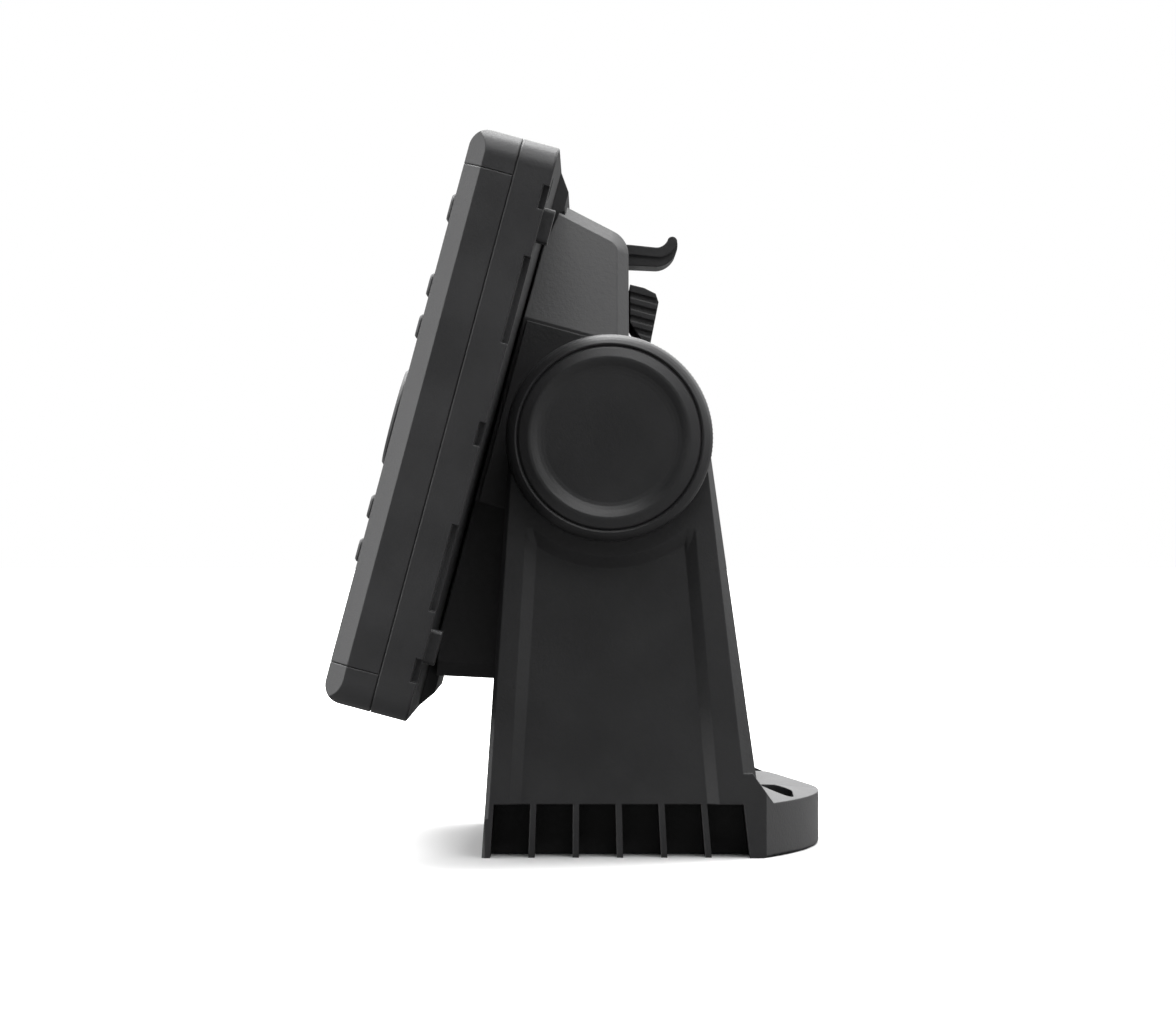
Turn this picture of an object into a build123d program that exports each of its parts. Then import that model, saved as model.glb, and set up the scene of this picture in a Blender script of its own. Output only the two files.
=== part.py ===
"""Chartplotter display on a tilting bail bracket.

A seven inch head clips into a cradle.  The cradle hangs between the two legs of a U-shaped
plastic bail, and two large knobs clamp it at its tilt.  Millimetres, +Z up, +X to the right of
someone facing the screen, -Y towards them.  The origin is the centre of the four base screws on
the table.  The head and the cradle are drawn in the head's own axes: across, back from the
front face, and up from mid-height.
"""

from build123d import *
import os
from math import cos, radians, sin, sqrt

os.makedirs("parts", exist_ok=True)

# ---------------------------------------------------------------- driving dimensions
# Stance
lean = radians(15.0)
axis_height = 106.8
axis_y = -12.0
axis_back = 51.9
axis_up = 7.85
gap = 0.2
running_gap = 0.05

# Display head
head_width = 250.0
head_height = 145.8
corner_radius = 6.0
front_round = 5.0
side_chamfer = 4.3
bezel_depth = 12.3
body_depth = 21.8
block_width = 74.0
block_depth = 25.0
block_height = 135.6
head_wall = 2.4
skin = 2.6
rim_width = 7.5
cap_height = 126.3
cap_wall = 2.5
cap_lip = 6.6
flush_screw_x = 119.6
flush_screw_v = 52.0
flush_hole_radius = 1.9
seam_groove = 0.35
rear_edge_break = 0.35
housing_screw_grid = (214.0, 126.0)
housing_screw_head = 3.2
vent_x = -80.0
vent_v = 40.0
vent_radius = 4.0
side_notches = ((60.0, 6.0), (34.0, 22.0), (0.0, 6.0))
notch_depth = 1.6
catch_x = 113.0
catch_v = 53.7
catch_width = 9.0
catch_height = 8.6
catch_proud = 2.8

# Screen stack
glass_width = 189.0
glass_height = 116.0
glass_x = -17.5
glass_thickness = 1.8
glass_sink = 0.4
ledge = 4.5
ledge_thickness = 2.0
lcd_width = 168.0
lcd_height = 102.0
lcd_thickness = 5.0
spreader_thickness = 1.2
board_thickness = 1.6
board_width = 196.0
board_height = 108.0

# Keys: name, place up the head, length, width
key_x = 101.0
key_proud = 1.3
key_travel = 0.6
key_flange = 0.7
key_flange_reach = 1.2
key_gap = 0.25
pad_diameter = 24.5
pad_v = -1.2
keys = {
    "power_key": (52.6, 7.1, 13.0),
    "menu_key": (32.7, 5.9, 16.0),
    "back_key": (22.1, 6.1, 16.0),
    "enter_key": (-24.2, 6.1, 16.0),
    "mark_key": (-35.3, 5.9, 16.0),
}
mat_thickness = 1.0

# Cradle
ear_reach = 54.0
ear_inner = 39.0
ear_radius = 24.2
ear_front = 23.5
cradle_front = 22.5
cradle_corner_front = 24.4
cradle_front_step = 12.0
cradle_top = 64.2
cradle_bottom = -63.0
lower_half_width = 45.0
upper_half_width = 50.0
top_half_width = 38.0
shoulder_v = 33.0
rear_y = 5.2
rear_top = 52.6
rear_bottom = -2.0
rear_corner_round = 7.0
cradle_wall = 2.6
rim_bevel = 3.0
lower_corner_round = 8.0
bottom_bevel = 3.6
bay_half_width = 38.4
bay_top = 50.0
bay_bottom = -54.0
bay_depth = 41.0
cover_screw_places = ((-34, 40), (34, 40), (-34, -48), (34, -48))
cover_thickness = 2.0
insert_radius = 7.0
insert_length = 12.0

# Contacts between the head and the cradle
contact_width = 46.0
contact_height = 16.0
contact_v = -22.0
contact_count = 12
contact_pitch = 6.4

# Cable sockets at the rear of the cradle
port_count = 4
port_pitch = 17.5
port_radius = 7.6
port_bore = 5.6
port_length = 6.0
port_z = 115.0

# Release lever and cable lock
lever_width = 30.0
lever_flange = 2.9
lever_inset = 0.8
lever_pin_radius = 1.5
lever_pivot = (-5.5, 155.6)
lever_hub = 3.9
lock_width = 70.0
lock_groove_pitch = 2.9
lock_groove_depth = 0.8

# Bail bracket
leg_inner = 55.0
leg_outer = 74.0
leg_front = (-32.5, -25.3)
leg_rear = (36.6, 24.1)
leg_flare = (3.8, 1.2)
leg_flare_in = 3.4
boss_radius = 24.4
leg_skin = 4.5
leg_inner_wall = 2.5
cell_count = 6
rib_thickness = 1.6
end_wall = 2.2
cell_top = 76.0
skirt_height = 13.6
recess_depth = 2.0
recess_bevel = 3.1
recess_front = (-26.4, -21.2)
recess_rear = (29.3, 21.9)
recess_arc = 30.0
base_thickness = 10.0
base_top_skin = 3.0
base_half_width = 74.0
base_side_rear = 40.0
base_centre_rear = 56.3
base_front = -31.8
lip_height = 13.8
plateau_height = 19.2
plateau_bevel = 11.0
lip_front = 30.0
web_height = 21.5
web_reach = 42.0
screw_pitch_x = 90.0
screw_pitch_y = 60.0
screw_hole_radius = 2.6
screw_seat = 7.5
pocket_length = 20.0
pocket_width = 11.6

# Pivot
stud_radius = 4.0
bush_radius = 8.0
friction_washer_thickness = 0.7
friction_washer_radius = 21.0

# Knobs
knob_radius = 26.2
knob_ring = 23.3
knob_crest = 20.4
knob_dish = 17.3
knob_depth = 11.2
knob_dish_depth = 1.5
knob_washer_thickness = 0.7
knob_washer_radius = 12.0
knob_cap_thickness = 1.2
stud_head_radius = 7.0
stud_head_length = 4.5
stud_reach = 43.0

# ---------------------------------------------------------------- datum planes
back = Vector(0, cos(lean), -sin(lean))
up = Vector(0, sin(lean), cos(lean))
axis_point = Vector(0, axis_y, axis_height)
face_centre = axis_point - back * axis_back - up * axis_up
FACE = Plane(origin=face_centre, x_dir=(1, 0, 0), z_dir=back * -1)  # x across, y up, z forward
SIDE = Plane(origin=face_centre, x_dir=back, z_dir=(1, 0, 0))  # x back, y up, z across
PLAN = Plane(origin=face_centre, x_dir=(1, 0, 0), z_dir=up)  # x across, y back, z up
TILT = Plane(origin=axis_point, x_dir=(0, 1, 0), z_dir=(1, 0, 0))  # x rear, y up, z across
FLANK = Plane(origin=(0, axis_y, 0), x_dir=(0, 1, 0), z_dir=(1, 0, 0))  # as TILT, from the table
FORWARD = Axis(face_centre, back * -1)


def depth(distance):
    """The plane parallel to the screen, this far behind the front face."""
    return FACE.offset(-distance)


def save(block, name):
    """Label a finished piece and write it."""
    block.part.label = name
    export_step(block.part, f"parts/{name}.step")


# ---------------------------------------------------------------- display head
def cap_profile(clearance):
    """Plan section of a trim cap on the right-hand side, grown by a clearance."""
    outer = head_width / 2
    lip_edge = outer - cap_lip - clearance
    depth_end = bezel_depth + clearance
    thick = cap_wall + clearance
    with BuildSketch(PLAN) as section:
        with BuildLine():
            Polyline(
                (lip_edge, -clearance),
                (outer - side_chamfer, 0) if clearance == 0 else (outer + clearance, -clearance),
                (outer, side_chamfer) if clearance == 0 else (outer + clearance, side_chamfer),
                (outer + clearance, depth_end),
                (outer - thick, depth_end),
                (outer - thick, side_chamfer + 1.0 + clearance / 2),
                (outer - side_chamfer - 1.0 - clearance / 2, thick),
                (lip_edge, thick),
                close=True,
            )
        make_face()
    return section.sketch


def front_bezel():
    """Front moulding: soft top and bottom edges, bevelled sides, window, key holes."""
    recess = cap_profile(gap)
    with BuildPart() as bezel:
        with BuildSketch(FACE):
            RectangleRounded(head_width, head_height, corner_radius)
        extrude(amount=-bezel_depth)
        with BuildSketch(SIDE) as profile:
            with Locations((bezel_depth, 0)):
                Rectangle(2 * bezel_depth, head_height)
            fillet(profile.vertices().group_by(Axis.X)[0], front_round)
        extrude(amount=head_width, both=True, mode=Mode.INTERSECT)
        with BuildSketch(PLAN) as outline:
            with Locations((0, bezel_depth)):
                Rectangle(head_width, 2 * bezel_depth)
            chamfer(outline.vertices().group_by(Axis.Y)[0], side_chamfer)
        extrude(amount=head_height, both=True, mode=Mode.INTERSECT)
        extrude(recess, amount=cap_height / 2 + gap, both=True, mode=Mode.SUBTRACT)
        mirror(about=Plane.YZ, mode=Mode.INTERSECT)
        with BuildSketch(depth(bezel_depth)):
            Rectangle(head_width - 2 * rim_width, head_height - 2 * head_wall - 2)
        extrude(amount=bezel_depth - glass_seat() - ledge_thickness, mode=Mode.SUBTRACT)
        with BuildSketch(depth(bezel_depth)):
            with Locations((key_x, pad_v)):
                Rectangle(32, 124)
        extrude(amount=bezel_depth - skin, mode=Mode.SUBTRACT)
        with BuildSketch(FACE):
            with Locations((glass_x, 0)):
                Rectangle(glass_width + 2 * gap, glass_height + 2 * gap)
        extrude(amount=-glass_seat(), mode=Mode.SUBTRACT)
        with BuildSketch(FACE):
            with Locations((glass_x, 0)):
                Rectangle(glass_width - 2 * ledge, glass_height - 2 * ledge)
        extrude(amount=-bezel_depth, mode=Mode.SUBTRACT)
        with BuildSketch(FACE):
            for place, length, width in keys.values():
                with Locations((key_x, place)):
                    RectangleRounded(width + 2 * key_gap, length + 2 * key_gap, length / 3)
            with Locations((key_x, pad_v)):
                Circle(pad_diameter / 2 + key_gap)
        extrude(amount=-bezel_depth, mode=Mode.SUBTRACT)
        with BuildSketch(FACE):
            with GridLocations(2 * flush_screw_x, 2 * flush_screw_v, 2, 2):
                Circle(flush_hole_radius)
        extrude(amount=-bezel_depth, mode=Mode.SUBTRACT)
    return bezel


def glass_seat():
    """Depth of the ledge that the cover glass rests on."""
    return glass_sink + glass_thickness


def trim_cap(side):
    """Snap-on strip that covers the flush-mount screws on one side."""
    section = cap_profile(0)
    with BuildPart() as cap:
        extrude(section, amount=cap_height / 2, both=True)
        if side < 0:
            mirror(about=Plane.YZ)
            split(bisect_by=Plane.YZ, keep=Keep.BOTTOM)
    return cap


def head_plate(across, high, start, thickness, x=0.0, v=0.0, radius=1.0):
    """Flat rounded plate parallel to the screen, from one depth back by its thickness."""
    with BuildPart() as plate:
        with BuildSketch(depth(start)):
            with Locations((x, v)):
                RectangleRounded(across, high, radius)
        extrude(amount=-thickness)
    return plate


def lcd_front():
    """Depth of the display module's front."""
    return glass_seat() + ledge_thickness + gap


def glass_gasket():
    """Foam frame between the glass ledge and the display module."""
    with BuildPart() as gasket:
        with BuildSketch(depth(glass_seat())):
            with Locations((glass_x, 0)):
                Rectangle(glass_width - 2 * ledge - 2 * gap, glass_height - 2 * ledge - 2 * gap)
                Rectangle(lcd_width - 8, lcd_height - 8, mode=Mode.SUBTRACT)
        extrude(amount=-ledge_thickness)
    return gasket


def keypad_mat():
    """Silicone mat with a contact dome under every key."""
    with BuildPart() as mat:
        with BuildSketch(depth(mat_front())):
            with Locations((key_x, pad_v)):
                RectangleRounded(30, 122, 2)
        extrude(amount=-mat_thickness)
        with BuildSketch(depth(mat_front() + mat_thickness)):
            for place, _, _ in keys.values():
                with Locations((key_x, place)):
                    Circle(2.0)
            with Locations((key_x, pad_v)):
                with PolarLocations(8, 4):
                    Circle(2.0)
        extrude(amount=-0.8)
    return mat


def mat_front():
    """Depth of the keypad mat's face, just past a fully pressed key."""
    return skin + gap / 2 + key_flange + key_travel + gap


def key(name):
    """One push key with a retaining flange behind the bezel."""
    place, length, width = keys[name]
    with BuildPart() as cap:
        with BuildSketch(FACE.offset(key_proud)):
            with Locations((key_x, place)):
                RectangleRounded(width, length, length / 3)
        extrude(amount=-(key_proud + skin + gap))
        chamfer(cap.faces().sort_by(FORWARD)[-1].edges(), 0.5)
        with BuildSketch(depth(skin + gap / 2)):
            with Locations((key_x, place)):
                RectangleRounded(width + 2 * key_flange_reach, length + 2 * key_flange_reach, length / 3)
        extrude(amount=-key_flange)
    return cap


def arrow_pad():
    """Round four-way pad with a dished top."""
    with BuildPart() as pad:
        with BuildSketch(FACE.offset(key_proud)):
            with Locations((key_x, pad_v)):
                Circle(pad_diameter / 2)
        extrude(amount=-(key_proud + skin + gap))
        chamfer(pad.faces().sort_by(FORWARD)[-1].edges(), 0.6)
        with BuildSketch(FACE.offset(key_proud)):
            with Locations((key_x, pad_v)):
                Circle(pad_diameter / 5)
        extrude(amount=-0.6, mode=Mode.SUBTRACT)
        with BuildSketch(depth(skin + gap / 2)):
            with Locations((key_x, pad_v)):
                Circle(pad_diameter / 2 + key_flange_reach)
        extrude(amount=-key_flange)
    return pad


def back_housing():
    """Rear moulding with the raised block that nests in the cradle."""
    inner_width = head_width - 2 * head_wall
    inner_height = head_height - 2 * head_wall
    with BuildPart() as housing:
        with BuildSketch(depth(bezel_depth)):
            RectangleRounded(head_width, head_height, corner_radius)
        extrude(amount=-(body_depth - bezel_depth))
        chamfer(housing.faces().sort_by(FORWARD)[0].edges(), rear_edge_break)
        with BuildSketch(depth(bezel_depth)):
            Rectangle(head_width + 2, head_height + 2)
            RectangleRounded(head_width - 2 * seam_groove, head_height - 2 * seam_groove,
                             corner_radius - seam_groove, mode=Mode.SUBTRACT)
        extrude(amount=-seam_groove, mode=Mode.SUBTRACT)
        with BuildSketch(depth(body_depth - rear_edge_break)):
            Rectangle(block_width, head_height - 0.2)
        with BuildSketch(depth(block_depth)):
            Rectangle(block_width - 2, block_height)
        loft()
        with BuildSketch(depth(bezel_depth)):
            RectangleRounded(inner_width, inner_height, corner_radius - head_wall)
        extrude(amount=-(body_depth - bezel_depth - head_wall), mode=Mode.SUBTRACT)
        with BuildSketch(depth(bezel_depth)):
            Rectangle(block_width - 4 * head_wall, block_height - 4 * head_wall)
        extrude(amount=-(block_depth - bezel_depth - head_wall), mode=Mode.SUBTRACT)
        with BuildSketch(depth(bezel_depth)):
            with GridLocations(2 * flush_screw_x, 2 * flush_screw_v, 2, 2):
                Circle(flush_hole_radius + 2.0)
            with GridLocations(*housing_screw_grid, 2, 2):
                Circle(housing_screw_head)
        extrude(amount=-(body_depth - bezel_depth - head_wall / 2))
        with BuildSketch(depth(bezel_depth)):
            with GridLocations(2 * flush_screw_x, 2 * flush_screw_v, 2, 2):
                Circle(flush_hole_radius)
        extrude(amount=-body_depth, mode=Mode.SUBTRACT)
        with BuildSketch(depth(bezel_depth)):
            with GridLocations(*housing_screw_grid, 2, 2):
                Circle(1.6)
        extrude(amount=-body_depth, mode=Mode.SUBTRACT)
        with BuildSketch(depth(body_depth - 1.6)):
            with GridLocations(*housing_screw_grid, 2, 2):
                Circle(housing_screw_head)
        extrude(amount=-body_depth, mode=Mode.SUBTRACT)
        with BuildSketch(depth(body_depth - notch_depth)):
            for middle, length in side_notches:
                with Locations(*[(x, v) for x in (-122, 122) for v in {middle, -middle}]):
                    Rectangle(7.0, length)
        extrude(amount=-body_depth, mode=Mode.SUBTRACT)
        with BuildSketch(depth(body_depth)):
            with GridLocations(2 * catch_x, 2 * catch_v, 2, 2):
                RectangleRounded(catch_width, catch_height, 1.0)
        extrude(amount=-catch_proud)
        with BuildSketch(depth(bezel_depth)):
            with Locations((0, contact_v)):
                Rectangle(contact_width + 6, contact_height + 4)
        extrude(amount=-block_depth, mode=Mode.SUBTRACT)
        with BuildSketch(depth(bezel_depth)):
            with Locations((vent_x, vent_v)):
                Circle(vent_radius)
        extrude(amount=-body_depth, mode=Mode.SUBTRACT)
    return housing


def housing_gasket():
    """Rubber loop in the joint between the bezel and the rear moulding."""
    with BuildPart() as gasket:
        with BuildSketch(depth(bezel_depth - 1.2)):
            Rectangle(head_width - 2 * rim_width - 2 * gap, head_height - 2 * head_wall - 2.5)
            Rectangle(head_width - 2 * rim_width - 4, head_height - 2 * head_wall - 6, mode=Mode.SUBTRACT)
        extrude(amount=-1.2)
    return gasket


def housing_screws():
    """Four screws that hold the rear moulding to the bezel."""
    with BuildPart() as screws:
        with BuildSketch(depth(body_depth - 1.6)):
            with GridLocations(*housing_screw_grid, 2, 2):
                Circle(2.9)
                RegularPolygon(1.2, 6, mode=Mode.SUBTRACT)
        extrude(amount=-1.4)
        with BuildSketch(depth(body_depth - 1.6)):
            with GridLocations(*housing_screw_grid, 2, 2):
                Circle(1.5)
        extrude(amount=body_depth - bezel_depth - 1.8)
    return screws


def main_board():
    """Main circuit board with its tallest components."""
    board_front = lcd_front() + lcd_thickness + spreader_thickness + 2.4
    with BuildPart() as board:
        with BuildSketch(depth(board_front)):
            with Locations((glass_x / 2, 0)):
                Rectangle(board_width, board_height)
        extrude(amount=-board_thickness)
        with BuildSketch(depth(board_front + board_thickness)):
            with Locations((-30, 25)):
                Rectangle(24, 24)
            with Locations((10, 28), (34, 28)):
                Rectangle(12, 18)
            with Locations((60, -20)):
                Rectangle(16, 16)
        extrude(amount=-1.4)
    return board


def contact_socket():
    """Rear connector of the head, open to the back."""
    with BuildPart() as socket:
        with BuildSketch(depth(block_depth - 6.0)):
            with Locations((0, contact_v)):
                Rectangle(contact_width + 6 - 2 * gap, contact_height + 4 - 2 * gap)
        extrude(amount=-5.6)
        with BuildSketch(depth(block_depth - 3.2)):
            with Locations((0, contact_v)):
                Rectangle(contact_width + 2, contact_height + 1)
        extrude(amount=-4, mode=Mode.SUBTRACT)
    return socket


def beeper():
    """Round sounder on the inside of the bezel."""
    with BuildPart() as sounder:
        with BuildSketch(depth(bezel_depth - 5.0)):
            with Locations((key_x, -52)):
                Circle(6.0)
        extrude(amount=-4.0)
    return sounder


def vent_plug():
    """Breather membrane in the rear moulding."""
    with BuildPart() as plug:
        with BuildSketch(depth(body_depth - head_wall)):
            with Locations((vent_x, vent_v)):
                Circle(vent_radius - gap / 4)
        extrude(amount=-(head_wall - 0.4))
    return plug


# ---------------------------------------------------------------- cradle
def cradle_shell():
    """Cradle moulding: sloping top, upright rear, ears at the pivot, open front."""
    with BuildPart() as shell:
        with BuildSketch(TILT) as profile:
            with BuildLine():
                Polyline(tilt_point(cradle_corner_front, cradle_top), (rear_y, rear_top),
                         (rear_y, rear_bottom), *[tilt_point(w, v) for w, v in (
                    (45.0, cradle_bottom + 4.4),
                    (cradle_corner_front, cradle_bottom),
                    (cradle_front, cradle_bottom + cradle_front_step),
                    (cradle_front, cradle_top - cradle_front_step),
                )], close=True)
            make_face()
            fillet(profile.vertices().sort_by(Axis.X)[-2:], rear_corner_round)
        extrude(amount=ear_reach, both=True)
        with BuildSketch(FACE) as outline:
            with BuildLine():
                Polyline(
                    (0, cradle_bottom - 5),
                    (lower_half_width, cradle_bottom - 5),
                    (lower_half_width, axis_up - ear_radius),
                    (upper_half_width, axis_up - ear_radius),
                    (upper_half_width, shoulder_v),
                    (top_half_width, cradle_top),
                    (top_half_width - 2, cradle_top + 5),
                    (0, cradle_top + 5),
                    close=True,
                )
            make_face()
            mirror(about=Plane.YZ)
        extrude(amount=-90, mode=Mode.INTERSECT)
        chamfer(shell.edges().filter_by(is_upper_rim), rim_bevel)
        fillet(shell.edges().filter_by(is_lower_corner), lower_corner_round)
        chamfer(shell.edges().filter_by(is_bottom_rim), bottom_bevel)
        for side in (-1, 1):
            with BuildSketch(SIDE.offset(side * ear_inner)):
                with Locations(((ear_front + axis_back) / 2, axis_up)):
                    Rectangle(axis_back - ear_front, 2 * ear_radius)
                with Locations((axis_back, axis_up)):
                    Circle(ear_radius)
            extrude(amount=side * (ear_reach - ear_inner))
        with BuildSketch(SIDE):
            with Locations((0, 0)):
                Rectangle(2 * cradle_front, 300)
        extrude(amount=80, both=True, mode=Mode.SUBTRACT)
        with BuildSketch(FACE):
            Rectangle(2 * bay_half_width, 160)
        extrude(amount=-(block_depth + 0.6), mode=Mode.SUBTRACT)
        with BuildSketch(FACE):
            with Locations((0, (bay_top + bay_bottom) / 2)):
                Rectangle(2 * bay_half_width, bay_top - bay_bottom)
        extrude(amount=-bay_depth, mode=Mode.SUBTRACT)
        with BuildSketch(FACE):
            with GridLocations(2 * 45.6, 1, 2, 1):
                with Locations((0, axis_up)):
                    Rectangle(7.2, 36)
        extrude(amount=-38, mode=Mode.SUBTRACT)
        with BuildSketch(FLANK):
            with Locations((lever_pivot[0] + 8.5, lever_pivot[1] - 0.45)):
                Rectangle(30, 9.5)
        extrude(amount=lever_width / 2 + 0.6, both=True, mode=Mode.SUBTRACT)
        with BuildSketch(FLANK):
            with Locations(lever_pivot):
                Circle(lever_pin_radius)
        extrude(amount=lever_width / 2 + 3.4, both=True, mode=Mode.SUBTRACT)
        with BuildSketch(TILT):
            Circle(insert_radius)
        extrude(amount=ear_reach + 1, both=True, mode=Mode.SUBTRACT)
        with BuildSketch(Plane.XZ.offset(-(axis_y + rear_y))):
            with Locations((0, port_z)):
                with GridLocations(port_pitch, 1, port_count, 1):
                    Circle(port_bore + 1.2)
        extrude(amount=cradle_wall * 4, both=True, mode=Mode.SUBTRACT)
    return shell


def tilt_point(w, v):
    """A point of the head's profile, measured upright from the tilt axis."""
    across = (w - axis_back) * cos(lean) + (v - axis_up) * sin(lean)
    high = (v - axis_up) * cos(lean) - (w - axis_back) * sin(lean)
    return (across, high)


def is_upper_rim(edge):
    """Whether an edge is on the top or rear rim of a sloping upper side panel."""
    ends = [FACE.to_local_coords(vertex.center()) for vertex in edge.vertices()]
    middle = FACE.to_local_coords(edge.center())
    behind = middle.Y > shoulder_v + 1 and middle.Z < -(cradle_corner_front + 1)
    one_side = ends[0].X * ends[-1].X > 0
    return behind and one_side and all(abs(abs(end.X) - panel_half_width(end.Y)) < 0.01 for end in ends)


def panel_half_width(v):
    """Half the cradle's width where its upper panels slope inwards."""
    share = (v - shoulder_v) / (cradle_top - shoulder_v)
    return upper_half_width + share * (top_half_width - upper_half_width)


def is_lower_corner(edge):
    """The long rear corners of the cradle's lower half."""
    middle = FACE.to_local_coords(edge.center())
    ends = [FACE.to_local_coords(v.center()) for v in edge.vertices()]
    long_way = abs(ends[0].Y - ends[-1].Y) > 20
    return long_way and abs(abs(middle.X) - lower_half_width) < 0.1 and middle.Z < -40 and middle.Y < axis_up


def is_bottom_rim(edge):
    """The edges between the cradle's bottom and its lower side panels."""
    ends = [FACE.to_local_coords(v.center()) for v in edge.vertices()]
    low = all(end.Y < cradle_bottom + 7 for end in ends) and ends[0].X * ends[-1].X > 0
    return low and edge.length > 8 and all(abs(abs(end.X) - lower_half_width) < 0.1 for end in ends)


def cradle_cover():
    """Flat inner plate that closes the cradle's bay behind the contacts."""
    with BuildPart() as cover:
        with BuildSketch(depth(block_depth + 0.8)):
            with Locations((0, (bay_top + bay_bottom) / 2)):
                Rectangle(2 * bay_half_width - 2 * gap, bay_top - bay_bottom - 2 * gap)
            with Locations((0, contact_v)):
                Rectangle(contact_width - 2 + 2 * gap, contact_height - 4 + 2 * gap, mode=Mode.SUBTRACT)
            with Locations(*cover_screw_places):
                Circle(1.6, mode=Mode.SUBTRACT)
        extrude(amount=-cover_thickness)
    return cover


def cradle_screws():
    """Screws that hold the inner plate."""
    with BuildPart() as screws:
        with BuildSketch(depth(block_depth + 0.8 + cover_thickness)):
            with Locations(*cover_screw_places):
                Circle(1.5)
        extrude(amount=cover_thickness)
    return screws


def contact_block():
    """Plug that stands out of the cradle into the head's rear connector."""
    with BuildPart() as block:
        with BuildSketch(depth(block_depth - 2.6)):
            with Locations((0, contact_v)):
                Rectangle(contact_width - 2, contact_height - 4)
        extrude(amount=-(0.8 + cover_thickness + 6.0))
        with BuildSketch(depth(block_depth + 0.8 + cover_thickness)):
            with Locations((0, contact_v)):
                Rectangle(contact_width + 4, contact_height + 4)
        extrude(amount=-3.0)
        with BuildSketch(depth(block_depth - 2.6)):
            with Locations((0, contact_v)):
                with GridLocations(contact_pitch, contact_height / 3, contact_count // 2, 2):
                    Circle(0.9)
        extrude(amount=-4.0, mode=Mode.SUBTRACT)
    return block


def contact_pins():
    """Spring contacts in the plug."""
    with BuildPart() as pins:
        with BuildSketch(depth(block_depth - 2.4)):
            with Locations((0, contact_v)):
                with GridLocations(contact_pitch, contact_height / 3, contact_count // 2, 2):
                    Circle(0.9)
        extrude(amount=-3.8)
    return pins


def cable_ports():
    """Round cable sockets in the cradle's upright rear."""
    rear = Plane.XZ.offset(-(axis_y + rear_y))
    with BuildPart() as ports:
        with BuildSketch(rear):
            with Locations((0, port_z)):
                with GridLocations(port_pitch, 1, port_count, 1):
                    Circle(port_radius)
        extrude(amount=-port_length)
        with BuildSketch(rear):
            with Locations((0, port_z)):
                with GridLocations(port_pitch, 1, port_count, 1):
                    Circle(port_bore + 1.2 - gap)
        extrude(amount=5.0)
        with BuildSketch(rear.offset(2.0)):
            with Locations((0, port_z)):
                with GridLocations(port_pitch, 1, port_count, 1):
                    Circle(port_bore)
        extrude(amount=-(port_length + 3), mode=Mode.SUBTRACT)
    return ports


def port_pins():
    """Connector pins at the bottom of each cable socket."""
    rear = Plane.XZ.offset(-(axis_y + rear_y))
    with BuildPart() as pins:
        with BuildSketch(rear.offset(2.0)):
            with Locations((0, port_z)):
                with GridLocations(port_pitch, 1, port_count, 1):
                    with PolarLocations(2.6, 5):
                        Circle(0.5)
        extrude(amount=-1.8)
    return pins


def thread_insert(side):
    """Brass insert in one ear that takes the knob's stud."""
    with BuildPart() as insert:
        with BuildSketch(TILT.offset(side * (ear_reach - insert_length / 2))):
            Circle(insert_radius)
            Circle(stud_radius + running_gap, mode=Mode.SUBTRACT)
        extrude(amount=insert_length / 2, both=True)
    return insert


def friction_washer(side):
    """Friction disc between one ear and the leg beside it."""
    with BuildPart() as washer:
        with BuildSketch(TILT.offset(side * (ear_reach + friction_washer_thickness / 2))):
            Circle(friction_washer_radius)
            Circle(bush_radius + 1, mode=Mode.SUBTRACT)
        extrude(amount=friction_washer_thickness / 2, both=True)
    return washer


def lever_profile(thick):
    """Side outline of the release lever, or of its upper flange alone."""
    y, z = lever_pivot
    root = rear_y + 0.6
    if thick:
        under = ((y, z - lever_hub), (root, 153.5), (13.0, 153.2))
        heel_middle = (17.1, 155.3)
    else:
        under = ((y, z + lever_hub - lever_flange), (root, 156.4), (12.4, 155.8))
        heel_middle = (16.5, 156.8)
    with BuildSketch() as outline:
        with BuildLine():
            lower = Polyline(*under)
            heel = ThreePointArc(lower @ 1, heel_middle, (18.3, 160.0))
            tip = ThreePointArc(heel @ 1, (17.4, 161.1), (15.9, 160.6))
            rest = ThreePointArc(tip @ 1, (14.7, 158.9), (12.4, 158.3))
            Polyline(rest @ 1, (root, 159.0), (y, z + lever_hub), lower @ 0)
        make_face()
        with Locations(lever_pivot):
            Circle(lever_hub)
            Circle(lever_pin_radius + running_gap, mode=Mode.SUBTRACT)
    return outline.sketch


def release_lever():
    """Release lever: hub, ribbed finger rest with an upturned tip, and the latch arm."""
    y, z = lever_pivot
    rib = lever_profile(True)
    flange = lever_profile(False)
    arm_length = 3.0
    with BuildPart() as lever:
        with BuildSketch(FLANK):
            add(rib)
        extrude(amount=lever_width / 2 - lever_inset, both=True)
        with BuildSketch(FLANK):
            add(flange)
        extrude(amount=lever_width / 2, both=True)
        with BuildSketch(FLANK):
            with Locations((y - lever_hub - arm_length / 2 + 1.2, z)):
                Rectangle(arm_length, 3.0)
        extrude(amount=7.0, both=True)
    return lever


def lever_pin():
    """Steel pin that the release lever turns on."""
    with BuildPart() as pin:
        with BuildSketch(FLANK):
            with Locations(lever_pivot):
                Circle(lever_pin_radius)
        extrude(amount=lever_width / 2 + 3.4, both=True)
    return pin


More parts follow.
